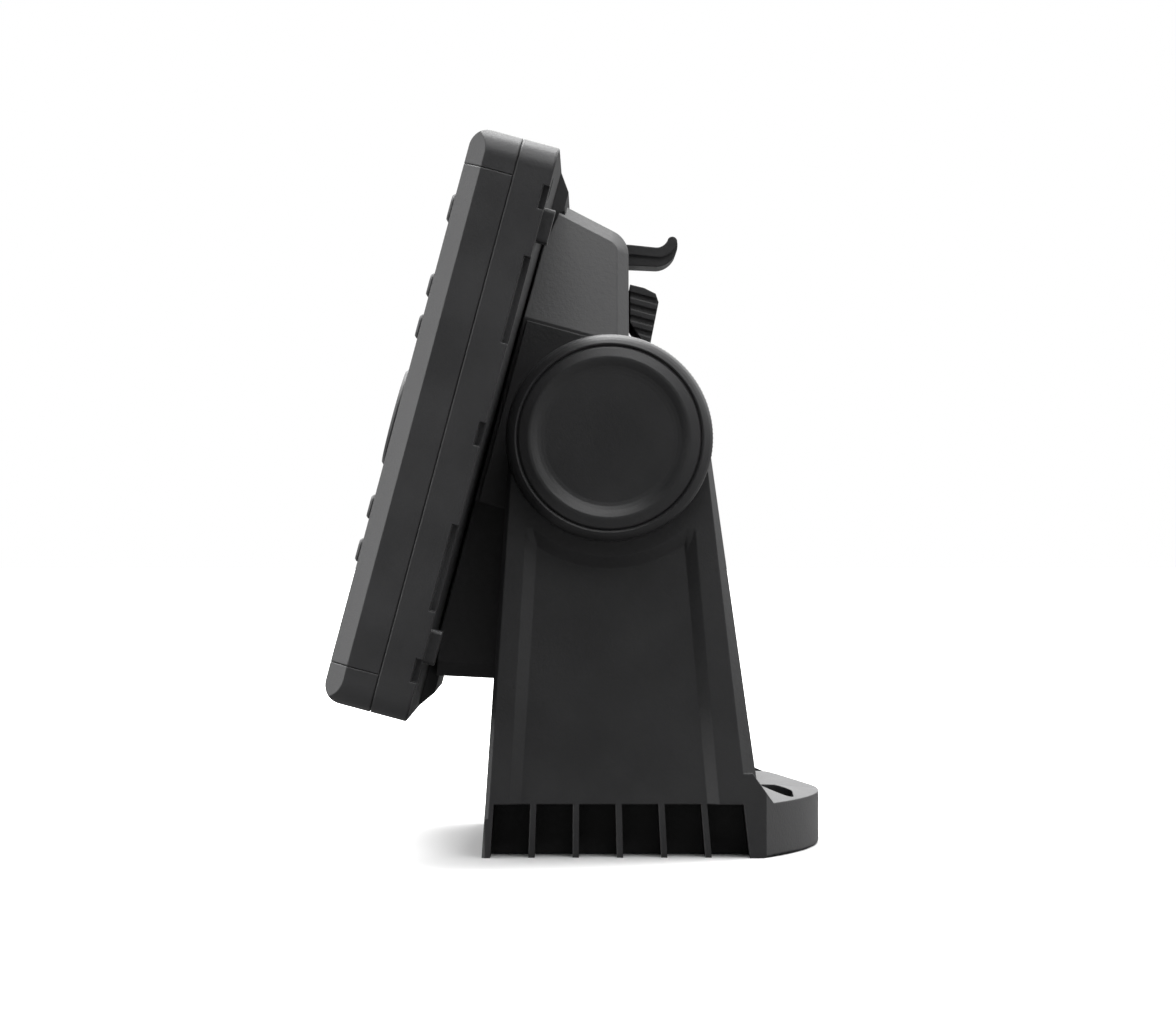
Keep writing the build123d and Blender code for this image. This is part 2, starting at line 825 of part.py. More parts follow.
def cable_lock():
    """Sliding bracket that traps the cable plugs, ribbed at its ends for the fingers."""
    front = rear_y + 0.4
    with BuildPart() as lock:
        with BuildSketch(FLANK) as profile:
            with BuildLine():
                Polyline(
                    (front, 147.6), (9.3, 146.7), (12.3, 145.2), (13.1, 143.0), (10.2, 128.4),
                    (8.4, 128.4), (8.4, 133.4), (front, 137.6), close=True,
                )
            make_face()
        extrude(amount=lock_width / 2, both=True)
        for step in range(5):
            with BuildSketch(SIDE.offset(lock_width / 2)):
                with Locations((50, 46.2 - step * lock_groove_pitch)):
                    Rectangle(16, lock_groove_pitch / 2)
            extrude(amount=-lock_groove_depth, mode=Mode.SUBTRACT)
            with BuildSketch(SIDE.offset(-lock_width / 2)):
                with Locations((50, 46.2 - step * lock_groove_pitch)):
                    Rectangle(16, lock_groove_pitch / 2)
            extrude(amount=lock_groove_depth, mode=Mode.SUBTRACT)
    return lock


# ---------------------------------------------------------------- bail bracket
def leg_section(level):
    """Plan section of the right leg, level 0 at the table and 1 at the tilt axis."""
    front = axis_y + leg_front[level]
    rear = axis_y + leg_rear[level]
    flare = leg_flare[level]
    return [
        (leg_inner, front),
        (leg_outer - 1.0, front),
        (leg_outer, front + 1.0),
        (leg_outer, rear),
        (leg_outer - leg_flare_in, rear + flare),
        (leg_inner, rear + flare),
    ]


def blend(pair, height):
    """Value at a height of something that runs straight from the table to the tilt axis."""
    return pair[0] + (pair[1] - pair[0]) * height / axis_height


def cell_points(index):
    """Side outline of one hollow cell of a leg, counted from the front."""
    points = []
    for height, order in ((-1.0, 1), (cell_top, -1)):
        front = blend(leg_front, height) + end_wall
        rear = blend(leg_rear, height) - end_wall + 1.4
        step = (rear - front + rib_thickness) / cell_count
        pair = [(front + index * step, height), (front + (index + 1) * step - rib_thickness, height)]
        points += pair[::order]
    return points


def recess_face(bevel):
    """Side outline of the leg's sunken panel, drawn in by a bevel."""
    with BuildSketch() as face:
        with BuildLine():
            Polyline(
                (recess_front[0] + bevel, 0), (recess_rear[0] - bevel, 0),
                (recess_rear[1] - bevel, 84.0), (recess_front[1] + bevel, 84.0), close=True,
            )
        make_face()
        with Locations((0, axis_height)):
            Circle(recess_arc + bevel, mode=Mode.SUBTRACT)
    return face.sketch


def bail_bracket():
    """U-shaped bracket: base with a raised rear lip, two hollow tapering legs, round bosses."""
    with BuildPart() as bail:
        with BuildSketch(FLANK):
            with BuildLine():
                floor = Line((base_front, 0), (base_centre_rear, 0))
                Polyline(floor @ 1, (base_centre_rear, lip_height), (lip_front, lip_height),
                         (lip_front - 3.0, base_thickness), (base_front, base_thickness),
                         (base_front, 0))
            make_face()
        extrude(amount=base_half_width)
        with BuildSketch(FLANK.offset(leg_inner)):
            Polygon((lip_front, base_thickness), (lip_front, web_height), (36.5, web_height),
                    (web_reach, lip_height), (web_reach, base_thickness), align=None)
        extrude(amount=base_half_width - leg_inner)
        with BuildSketch(Plane.XY):
            add(base_outline(base_front, base_half_width, 0))
        extrude(amount=web_height + 5, mode=Mode.INTERSECT)
        floor_edges = bail.faces().sort_by(Axis.Z)[0].edges().sort_by(Axis.Y)
        fillet(floor_edges[-1], 0.8)
        with BuildSketch(Plane.XY.offset(lip_height)):
            add(base_outline(lip_front, base_half_width, 0))
        with BuildSketch(Plane.XY.offset(plateau_height)):
            add(base_outline(lip_front + 2.0, base_half_width - 6.0, plateau_bevel))
        loft()
        with BuildSketch(Plane.XY):
            Polygon(*leg_section(0), align=None)
        with BuildSketch(Plane.XY.offset(axis_height)):
            Polygon(*leg_section(1), align=None)
        loft()
        with BuildSketch(TILT.offset(leg_inner)):
            Circle(boss_radius)
        extrude(amount=leg_outer - leg_inner)
        with BuildSketch(FLANK.offset(leg_outer)):
            add(recess_face(0))
        with BuildSketch(FLANK.offset(leg_outer - recess_depth)):
            add(recess_face(recess_bevel))
        loft(mode=Mode.SUBTRACT)
        for index in range(cell_count):
            with BuildSketch(FLANK.offset(leg_inner + leg_inner_wall)):
                Polygon(*cell_points(index), align=None)
            extrude(amount=leg_outer - leg_skin - leg_inner - leg_inner_wall, mode=Mode.SUBTRACT)
        with BuildSketch(FLANK.offset(leg_outer - leg_skin)):
            with Locations(((leg_front[0] + leg_rear[0]) / 2, 0)):
                Rectangle(200, 2 * skirt_height)
            for index in range(cell_count + 1):
                Polygon(*rib_points(index), align=None, mode=Mode.SUBTRACT)
        extrude(amount=leg_skin + 5, mode=Mode.SUBTRACT)
        with BuildSketch(TILT):
            Circle(bush_radius)
        extrude(amount=leg_outer + 1, mode=Mode.SUBTRACT)
        with BuildSketch(Plane.XY):
            with Locations((9.5, -20), (28.0, -20), (9.5, 8), (28.0, 8), (46.0, 2)):
                Rectangle(16.0, 24.0)
        extrude(amount=base_thickness - base_top_skin, mode=Mode.SUBTRACT)
        with BuildSketch(Plane.XY.offset(screw_seat)):
            with Locations((screw_pitch_x / 2, screw_pitch_y / 2)):
                SlotOverall(pocket_length, pocket_width)
            with Locations((screw_pitch_x / 2, -screw_pitch_y / 2)):
                Circle(pocket_width / 2)
        extrude(amount=plateau_height, mode=Mode.SUBTRACT)
        with BuildSketch(Plane.XY):
            with GridLocations(screw_pitch_x, screw_pitch_y, 2, 2):
                Circle(screw_hole_radius)
        extrude(amount=screw_seat, mode=Mode.SUBTRACT)
        mirror(about=Plane.YZ)
    return bail


def base_rear_point(x, inset):
    """A point on the bowed rear edge of the base, or on a line inside it."""
    bow = base_centre_rear - base_side_rear
    radius = (base_half_width**2 + bow**2) / (2 * bow)
    return (x, axis_y + base_centre_rear - radius + sqrt((radius - inset) ** 2 - x**2))


def base_outline(front, half_width, inset):
    """Plan outline of the base's right half behind a front line, its rear edge bowed."""
    with BuildSketch() as outline:
        with BuildLine():
            Polyline(base_rear_point(0, inset), (0, axis_y + front), (half_width, axis_y + front),
                     base_rear_point(half_width, inset))
            ThreePointArc(base_rear_point(half_width, inset), base_rear_point(half_width / 2, inset),
                          base_rear_point(0, inset))
        make_face()
    return outline.sketch


def rib_points(index):
    """Side outline of one rib, or end wall, where the leg's outer skin stops short."""
    points = []
    for height, order in ((-1.0, 1), (skirt_height, -1)):
        front = blend(leg_front, height) + end_wall
        rear = blend(leg_rear, height) - end_wall + 1.4
        step = (rear - front + rib_thickness) / cell_count
        start = front + index * step - rib_thickness
        stop = start + rib_thickness
        if index == 0:
            start -= 10
        if index == cell_count:
            stop += 60
        points += [(start, height), (stop, height)][::order]
    return points


def pivot_bush(side):
    """Plain bush that the knob's stud turns in."""
    length = leg_outer - leg_inner
    with BuildPart() as bush:
        with BuildSketch(TILT.offset(side * (leg_inner + leg_outer) / 2)):
            Circle(bush_radius)
            Circle(stud_radius + running_gap, mode=Mode.SUBTRACT)
        extrude(amount=length / 2, both=True)
    return bush


# ---------------------------------------------------------------- knobs
def knob_base():
    """Where a knob's rim starts, measured across from the middle."""
    return leg_outer + 0.1 + knob_washer_thickness


def spin(points, side):
    """Solid of revolution about the tilt axis from (radius, distance across) points."""
    with BuildPart() as turned:
        with BuildSketch(Plane(origin=axis_point, x_dir=(0, 0, 1), z_dir=(0, 1, 0))):
            with BuildLine():
                Polyline(*[(radius, across) for radius, across in points], close=True)
            make_face()
        revolve(axis=Axis(axis_point, (1, 0, 0)))
        if side < 0:
            mirror(about=Plane.YZ)
            split(bisect_by=Plane.YZ, keep=Keep.BOTTOM)
    return turned


def knob_seat():
    """Where the knob's cap sits on the grip, measured across from the middle."""
    return knob_base() + knob_depth - knob_dish_depth - knob_cap_thickness


def knob_grip(side):
    """Hollow round grip with a bevelled rim round the seat for the cap."""
    base = knob_base()
    crest = base + knob_depth
    return spin([
        (stud_radius + 0.3, base),
        (knob_washer_radius + 0.5, base),
        (knob_washer_radius + 0.5, base + 2.0),
        (knob_ring - 0.8, base + 2.0),
        (knob_ring - 0.8, base - 0.3),
        (knob_radius, base - 0.3),
        (knob_radius, crest - 3.8),
        (knob_radius - 0.2, crest - 3.0),
        (knob_radius - 0.7, crest - 2.2),
        (knob_radius - 1.4, crest - 1.5),
        (knob_ring + 0.6, crest - 0.9),
        (knob_ring, crest - 1.4),
        (knob_ring, knob_seat()),
        (stud_head_radius, knob_seat()),
        (stud_head_radius, knob_seat() - stud_head_length),
        (stud_radius + 0.3, knob_seat() - stud_head_length),
    ], side)


def knob_cap(side):
    """Cap with a raised crest round a flat dish, over the head of the stud."""
    crest = knob_base() + knob_depth
    floor = crest - knob_dish_depth
    return spin([
        (0, knob_seat()),
        (knob_ring - running_gap, knob_seat()),
        (knob_ring - running_gap, crest - 1.4),
        (knob_ring - 0.5, crest - 0.8),
        (knob_crest + 0.2, crest),
        (knob_crest - 0.4, crest),
        (knob_crest - 1.2, crest - 0.4),
        (knob_dish + 0.9, floor + 0.5),
        (knob_dish, floor + 0.15),
        (knob_dish - 1.0, floor),
        (0, floor),
    ], side)


def knob_stud(side):
    """Clamp stud with its round head in the knob."""
    head = knob_seat()
    return spin([
        (0, stud_reach),
        (stud_radius - 0.8, stud_reach),
        (stud_radius, stud_reach + 0.8),
        (stud_radius, head - stud_head_length),
        (stud_head_radius, head - stud_head_length),
        (stud_head_radius, head),
        (0, head),
    ], side)


def knob_washer(side):
    """Steel washer between a knob and its leg."""
    start = leg_outer + 0.1
    return spin([
        (stud_radius + 0.2, start),
        (knob_washer_radius, start),
        (knob_washer_radius, start + knob_washer_thickness),
        (stud_radius + 0.2, start + knob_washer_thickness),
    ], side)


# ---------------------------------------------------------------- build
save(front_bezel(), "front_bezel")
save(back_housing(), "back_housing")
save(head_plate(glass_width, glass_height, glass_sink, glass_thickness, glass_x), "cover_glass")
save(glass_gasket(), "glass_gasket")
save(head_plate(lcd_width, lcd_height, lcd_front(), lcd_thickness, glass_x), "lcd_module")
save(head_plate(lcd_width - 4, lcd_height - 4, lcd_front() + lcd_thickness, spreader_thickness, glass_x),
     "heat_spreader")
save(main_board(), "main_board")
save(keypad_mat(), "keypad_mat")
save(arrow_pad(), "arrow_pad")
save(housing_gasket(), "housing_gasket")
save(housing_screws(), "housing_screws")
save(contact_socket(), "contact_socket")
save(beeper(), "beeper")
save(vent_plug(), "vent_plug")
for key_name in keys:
    save(key(key_name), key_name)

save(cradle_shell(), "cradle_shell")
save(cradle_cover(), "cradle_cover")
save(cradle_screws(), "cradle_screws")
save(contact_block(), "contact_block")
save(contact_pins(), "contact_pins")
save(cable_ports(), "cable_ports")
save(port_pins(), "port_pins")
save(release_lever(), "release_lever")
save(lever_pin(), "lever_pin")
save(cable_lock(), "cable_lock")

save(bail_bracket(), "bail_bracket")
for hand, side in (("left", -1), ("right", 1)):
    save(trim_cap(side), f"trim_cap_{hand}")
    save(thread_insert(side), f"thread_insert_{hand}")
    save(friction_washer(side), f"friction_washer_{hand}")
    save(pivot_bush(side), f"pivot_bush_{hand}")
    save(knob_grip(side), f"knob_grip_{hand}")
    save(knob_cap(side), f"knob_cap_{hand}")
    save(knob_stud(side), f"knob_stud_{hand}")
    save(knob_washer(side), f"knob_washer_{hand}")
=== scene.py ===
"""Looks of a chartplotter display on its tilting bail bracket.

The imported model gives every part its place.  This script dresses those parts in moulded
plastic, rubber, glass and metal, adds the fine pieces that a mould or a lathe would leave on
them, and lights the object on a plain white table.
"""

from __future__ import annotations

import logging
import math
from dataclasses import dataclass
from enum import Enum

import bmesh
import bpy
import numpy as np
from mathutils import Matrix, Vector

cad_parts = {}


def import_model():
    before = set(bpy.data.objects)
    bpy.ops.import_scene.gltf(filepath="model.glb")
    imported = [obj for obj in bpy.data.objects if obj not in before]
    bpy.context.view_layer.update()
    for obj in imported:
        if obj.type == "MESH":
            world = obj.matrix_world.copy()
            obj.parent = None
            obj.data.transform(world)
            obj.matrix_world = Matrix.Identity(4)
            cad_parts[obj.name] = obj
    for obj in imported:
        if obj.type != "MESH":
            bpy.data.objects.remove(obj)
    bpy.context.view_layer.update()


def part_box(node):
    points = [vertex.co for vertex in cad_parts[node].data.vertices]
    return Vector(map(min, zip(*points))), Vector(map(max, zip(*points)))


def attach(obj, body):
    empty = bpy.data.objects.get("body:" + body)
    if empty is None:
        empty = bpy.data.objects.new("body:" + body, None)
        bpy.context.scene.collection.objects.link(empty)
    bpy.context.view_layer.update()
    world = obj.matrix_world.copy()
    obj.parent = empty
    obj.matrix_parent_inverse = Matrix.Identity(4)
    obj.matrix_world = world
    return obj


LOG = logging.getLogger("chartplotter")
MM = 0.001
LEAN = math.radians(15.0)
SHARP_EDGE = 50.0
DUST_GREY = (0.32, 0.31, 0.29)


class Hand(Enum):
    """The two sides of the object, as signs along X."""

    LEFT = -1
    RIGHT = 1

    @property
    def word(self) -> str:
        """The side's name, as it ends a node's name."""
        return self.name.lower()


# ------------------------------------------------------------------ head axes
@dataclass(frozen=True)
class HeadAxes:
    """The head's own axes: across, up its face, and out of its face.

    Attributes:
        origin: Middle of the front face, on the glass's outer side, in metres.
    """

    origin: np.ndarray

    @classmethod
    def from_frame(cls) -> HeadAxes:
        """Find the middle of the front face from the glass, which lies parallel to it.

        Returns:
            The axes, with the origin on the glass's outer face.
        """
        low, high = (np.array(corner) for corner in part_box("cover_glass"))
        half_glass = 0.9 * MM
        face = (low + high) / 2 + cls.outward() * half_glass
        return cls(np.array([0.0, face[1], face[2]]))

    @staticmethod
    def up() -> np.ndarray:
        """Unit vector up the leaning face."""
        return np.array([0.0, math.sin(LEAN), math.cos(LEAN)])

    @staticmethod
    def outward() -> np.ndarray:
        """Unit vector out of the leaning face, towards the user."""
        return np.array([0.0, -math.cos(LEAN), math.sin(LEAN)])

    def place(self, across: np.ndarray, high: np.ndarray, out: np.ndarray) -> np.ndarray:
        """Turn head coordinates into points of the row frame.

        Args:
            across: Distances along X, in metres.
            high: Distances up the face.
            out: Distances out of the glass's face.

        Returns:
            An array of points with one more axis, of length three.
        """
        across, high, out = np.broadcast_arrays(across, high, out)
        sideways = np.array([1.0, 0.0, 0.0])
        return (
            self.origin
            + across[..., None] * sideways
            + high[..., None] * self.up()
            + out[..., None] * self.outward()
        )


# ------------------------------------------------------------------ meshes
class Surface:
    """Grids of points made into meshes."""

    @staticmethod
    def quads(rows: int, columns: int, wrap_rows: bool, wrap_columns: bool) -> np.ndarray:
        """Corner numbers of the faces between neighbouring grid points.

        Args:
            rows: Points in the first direction.
            columns: Points in the second direction.
            wrap_rows: Whether the last row joins the first.
            wrap_columns: Whether the last column joins the first.

        Returns:
            One row of four corner numbers per face.
        """
        row = np.arange(rows if wrap_rows else rows - 1)
        column = np.arange(columns if wrap_columns else columns - 1)
        i, j = (grid.ravel() for grid in np.meshgrid(row, column, indexing="ij"))
        following_row, following_column = (i + 1) % rows, (j + 1) % columns
        corners = (
            i * columns + j,
            following_row * columns + j,
            following_row * columns + following_column,
            i * columns + following_column,
        )
        return np.stack(corners, axis=1)

    @staticmethod
    def build(name: str, grids: list[tuple[np.ndarray, bool, bool]], caps: bool = False) -> bpy.types.Object:
        """Make one object of several point grids.

        Args:
            name: The object's name.
            grids: Each grid of points, and whether its rows and its columns close up.
            caps: Whether to close the first and last row of each grid with a face.

        Returns:
            The new object, linked to the scene, with its normals pointing outwards.
        """
        points: list[np.ndarray] = []
        faces: list[list[int]] = []
        start = 0
        for grid, wrap_rows, wrap_columns in grids:
            rows, columns = grid.shape[:2]
            points.append(grid.reshape(-1, 3))
            faces += (Surface.quads(rows, columns, wrap_rows, wrap_columns) + start).tolist()
            if caps:
                first = np.arange(columns) + start
                last = first + (rows - 1) * columns
                faces += [first[::-1].tolist(), last.tolist()]
            start += rows * columns
        mesh = bpy.data.meshes.new(name)
        mesh.from_pydata(np.concatenate(points).tolist(), [], faces)
        mesh.validate()
        piece = bpy.data.objects.new(name, mesh)
        bpy.context.scene.collection.objects.link(piece)
        Surface.point_outwards(piece)
        return piece

    @staticmethod
    def point_outwards(piece: bpy.types.Object) -> None:
        """Recalculate a closed piece's normals so that they point outwards.

        Args:
            piece: The object whose mesh is closed.
        """
        mesh = bmesh.new()
        mesh.from_mesh(piece.data)
        bmesh.ops.remove_doubles(mesh, verts=mesh.verts, dist=1e-7)
        bmesh.ops.recalc_face_normals(mesh, faces=mesh.faces)
        mesh.to_mesh(piece.data)
        mesh.free()

    @staticmethod
    def smooth(piece: bpy.types.Object, angle: float = 35.0) -> None:
        """Shade a piece smooth, with edges sharper than an angle left sharp.

        Args:
            piece: The object to shade.
            angle: The sharpest smooth edge, in degrees.
        """
        mesh = piece.data
        mesh.polygons.foreach_set("use_smooth", np.ones(len(mesh.polygons), dtype=bool))
        mesh.set_sharp_from_angle(angle=math.radians(angle))

    @staticmethod
    def lathe(
        profile: np.ndarray, centre: np.ndarray, along: np.ndarray, steps: int = 96,
        ripple: np.ndarray | None = None, closed: bool = True,
    ) -> tuple[np.ndarray, bool, bool]:
        """Turn a profile round an axis: radius times the circle, plus distance along the axis.

        Args:
            profile: Pairs of radius and distance along the axis, in metres.
            centre: A point on the axis, from which the distances count.
            along: Unit vector of the axis.
            steps: Points round the circle.
            ripple: What to add to each point's radius, one row per step, or None.
            closed: Whether the profile is a closed loop.

        Returns:
            A grid for Surface.build, closed round the axis.
        """
        angle = np.linspace(0.0, 2 * math.pi, steps, endpoint=False)
        first = np.cross(along, [0.0, 0.0, 1.0])
        if np.linalg.norm(first) < 0.1:
            first = np.cross(along, [0.0, 1.0, 0.0])
        first = first / np.linalg.norm(first)
        second = np.cross(along, first)
        circle = np.cos(angle)[:, None] * first + np.sin(angle)[:, None] * second
        radius = np.broadcast_to(profile[:, 0], (steps, len(profile)))
        if ripple is not None:
            radius = radius + ripple
        points = centre + radius[..., None] * circle[:, None, :] + profile[:, 1][None, :, None] * along
        return points, True, closed

    @staticmethod
    def rounded_loop(corners: list[tuple[float, float]], radius: float, points: int = 5) -> np.ndarray:
        """A closed outline with its corners rounded by quadratic curves.

        Args:
            corners: The outline's corner points, in order.
            radius: How far from each corner its rounding starts.
            points: Points in each rounding.

        Returns:
            The outline's points, one pair per row.
        """
        corner = np.array(corners, float)
        before, after = np.roll(corner, 1, axis=0), np.roll(corner, -1, axis=0)
        reach_in = np.linalg.norm(before - corner, axis=1, keepdims=True)
        reach_out = np.linalg.norm(after - corner, axis=1, keepdims=True)
        start = corner + (before - corner) * np.minimum(radius / reach_in, 0.45)
        stop = corner + (after - corner) * np.minimum(radius / reach_out, 0.45)
        t = np.linspace(0.0, 1.0, points)[None, :, None]
        curve = (1 - t) ** 2 * start[:, None] + 2 * t * (1 - t) * corner[:, None] + t**2 * stop[:, None]
        return curve.reshape(-1, 2)


# ------------------------------------------------------------------ shader groups
class ShaderGroup:
    """A node group with named sockets, built once and used by several materials."""

    name = "group"
    inputs: dict[str, float | tuple[float, float, float, float]] = {}
    outputs: dict[str, str] = {}

    @classmethod
    def tree(cls) -> bpy.types.NodeTree:
        """The group's node tree, made on first use."""
        found = bpy.data.node_groups.get(cls.name)
        if found is not None:
            return found
        tree = bpy.data.node_groups.new(cls.name, "ShaderNodeTree")
        for label, value in cls.inputs.items():
            kind = "NodeSocketFloat" if isinstance(value, float) else "NodeSocketColor"
            socket = tree.interface.new_socket(name=label, in_out="INPUT", socket_type=kind)
            socket.default_value = value
        for label, kind in cls.outputs.items():
            tree.interface.new_socket(name=label, in_out="OUTPUT", socket_type=kind)
        cls.wire(tree, tree.nodes.new("NodeGroupInput"), tree.nodes.new("NodeGroupOutput"))
        return tree

    @classmethod
    def wire(cls, tree: bpy.types.NodeTree, given: bpy.types.Node, made: bpy.types.Node) -> None:
        """Add the group's nodes between its input and output.

        Args:
            tree: The tree to fill.
            given: Its input node.
            made: Its output node.
        """
        raise NotImplementedError

    @classmethod
    def place(cls, tree: bpy.types.NodeTree, **values: float) -> bpy.types.Node:
        """Put the group in a material.

        Args:
            tree: The material's node tree.
            values: Input names, with spaces as underscores, and their values.

        Returns:
            The new group node.
        """
        node = tree.nodes.new("ShaderNodeGroup")
        node.node_tree = cls.tree()
        for label, value in values.items():
            node.inputs[label.replace("_", " ")].default_value = value
        return node


def math_node(
    tree: bpy.types.NodeTree, operation: str, first: object, second: object = 0.0,
) -> bpy.types.NodeSocket:
    """Add a maths node whose inputs are sockets or numbers, and give its result.

    Args:
        tree: The tree to add to.
        operation: Blender's name of the operation.
        first: A socket or a number.
        second: A socket or a number.

    Returns:
        The node's output socket.
    """
    node = tree.nodes.new("ShaderNodeMath")
    node.operation = operation
    for socket, value in zip(node.inputs, (first, second)):
        if isinstance(value, bpy.types.NodeSocket):
            tree.links.new(value, socket)
        else:
            socket.default_value = value
    return node.outputs[0]


def ramp(
    tree: bpy.types.NodeTree, value: bpy.types.NodeSocket, low: float, high: float,
) -> bpy.types.NodeSocket:
    """Stretch a value so that low becomes 0 and high becomes 1, kept between the two.

    Args:
        tree: The tree to add to.
        value: The socket to stretch.
        low: The value that becomes 0.
        high: The value that becomes 1.

    Returns:
        The stretched socket.
    """
    node = tree.nodes.new("ShaderNodeMapRange")
    node.inputs["From Min"].default_value = low
    node.inputs["From Max"].default_value = high
    tree.links.new(value, node.inputs["Value"])
    return node.outputs["Result"]


def noise(
    tree: bpy.types.NodeTree, scale: object, detail: float, stretch: Vector | None = None,
) -> bpy.types.NodeSocket:
    """Noise over the piece's own coordinates.

    Args:
        tree: The tree to add to.
        scale: A socket or a number, in features per metre.
        detail: Octaves of finer noise.
        stretch: How much each axis is scaled first, or None.

    Returns:
        The noise's value socket.
    """
    place = tree.nodes.new("ShaderNodeTexCoord").outputs["Object"]
    if stretch is not None:
        mapping = tree.nodes.new("ShaderNodeMapping")
        mapping.inputs["Scale"].default_value = stretch
        tree.links.new(place, mapping.inputs["Vector"])
        place = mapping.outputs["Vector"]
    node = tree.nodes.new("ShaderNodeTexNoise")
    node.inputs["Detail"].default_value = detail
    tree.links.new(place, node.inputs["Vector"])
    if isinstance(scale, bpy.types.NodeSocket):
        tree.links.new(scale, node.inputs["Scale"])
    else:
        node.inputs["Scale"].default_value = scale
    return node.outputs["Fac"]


class MouldGrain(ShaderGroup):
    """Spark-eroded mould texture: rounded pits over a slower unevenness."""

    name = "mould grain"
    inputs = {"Pitch": 2600.0, "Flow": 0.35}
    outputs = {"Height": "NodeSocketFloat", "Tone": "NodeSocketFloat"}

    @classmethod
    def wire(cls, tree: bpy.types.NodeTree, given: bpy.types.Node, made: bpy.types.Node) -> None:
        """Height is fine noise plus cell pits plus a share of slow noise; Tone is the slow noise."""
        fine = noise(tree, given.outputs["Pitch"], 2.0)
        cells = tree.nodes.new("ShaderNodeTexVoronoi")
        cells.feature = "SMOOTH_F1"
        tree.links.new(tree.nodes.new("ShaderNodeTexCoord").outputs["Object"], cells.inputs["Vector"])
        tree.links.new(math_node(tree, "MULTIPLY", given.outputs["Pitch"], 0.45), cells.inputs["Scale"])
        slow = noise(tree, 46.0, 3.0)
        pits = math_node(tree, "MULTIPLY", cells.outputs["Distance"], 0.8)
        height = math_node(tree, "ADD", fine, pits)
        flow = math_node(tree, "MULTIPLY", slow, given.outputs["Flow"])
        tree.links.new(math_node(tree, "ADD", height, flow), made.inputs["Height"])
        tree.links.new(slow, made.inputs["Tone"])


class EdgeWear(ShaderGroup):
    """How near a point is to a sharp outer edge, broken up by noise."""

    name = "edge wear"
    inputs = {"Reach": 0.0006, "Break": 900.0}
    outputs = {"Mask": "NodeSocketFloat", "Soft Normal": "NodeSocketVector"}

    @classmethod
    def wire(cls, tree: bpy.types.NodeTree, given: bpy.types.Node, made: bpy.types.Node) -> None:
        """Mask is one minus the agreement of the face's normal with a bevelled one, times noise."""
        bevel = tree.nodes.new("ShaderNodeBevel")
        bevel.samples = 6
        tree.links.new(given.outputs["Reach"], bevel.inputs["Radius"])
        flat = tree.nodes.new("ShaderNodeNewGeometry")
        dot = tree.nodes.new("ShaderNodeVectorMath")
        dot.operation = "DOT_PRODUCT"
        tree.links.new(bevel.outputs["Normal"], dot.inputs[0])
        tree.links.new(flat.outputs["Normal"], dot.inputs[1])
        edge = ramp(tree, math_node(tree, "SUBTRACT", 1.0, dot.outputs["Value"]), 0.01, 0.25)
        patchy = ramp(tree, noise(tree, given.outputs["Break"], 3.0), 0.35, 0.7)
        tree.links.new(math_node(tree, "MULTIPLY", edge, patchy), made.inputs["Mask"])
        tree.links.new(bevel.outputs["Normal"], made.inputs["Soft Normal"])


class TableDust(ShaderGroup):
    """Thin dust on faces that look up, thicker in drifts."""

    name = "table dust"
    inputs = {"Amount": 0.5}
    outputs = {"Mask": "NodeSocketFloat"}

    @classmethod
    def wire(cls, tree: bpy.types.NodeTree, given: bpy.types.Node, made: bpy.types.Node) -> None:
        """Mask is the upward part of the normal times two scales of noise times the amount."""
        flat = tree.nodes.new("ShaderNodeNewGeometry")
        parts = tree.nodes.new("ShaderNodeSeparateXYZ")
        tree.links.new(flat.outputs["Normal"], parts.inputs["Vector"])
        upward = ramp(tree, parts.outputs["Z"], 0.3, 1.0)
        drifts = ramp(tree, noise(tree, 60.0, 4.0), 0.4, 0.75)
        specks = ramp(tree, noise(tree, 1900.0, 1.0), 0.55, 0.75)
        cover = math_node(tree, "ADD", math_node(tree, "MULTIPLY", drifts, 0.5), specks)
        spread = math_node(tree, "MULTIPLY", upward, cover)
        tree.links.new(math_node(tree, "MULTIPLY", spread, given.outputs["Amount"]), made.inputs["Mask"])


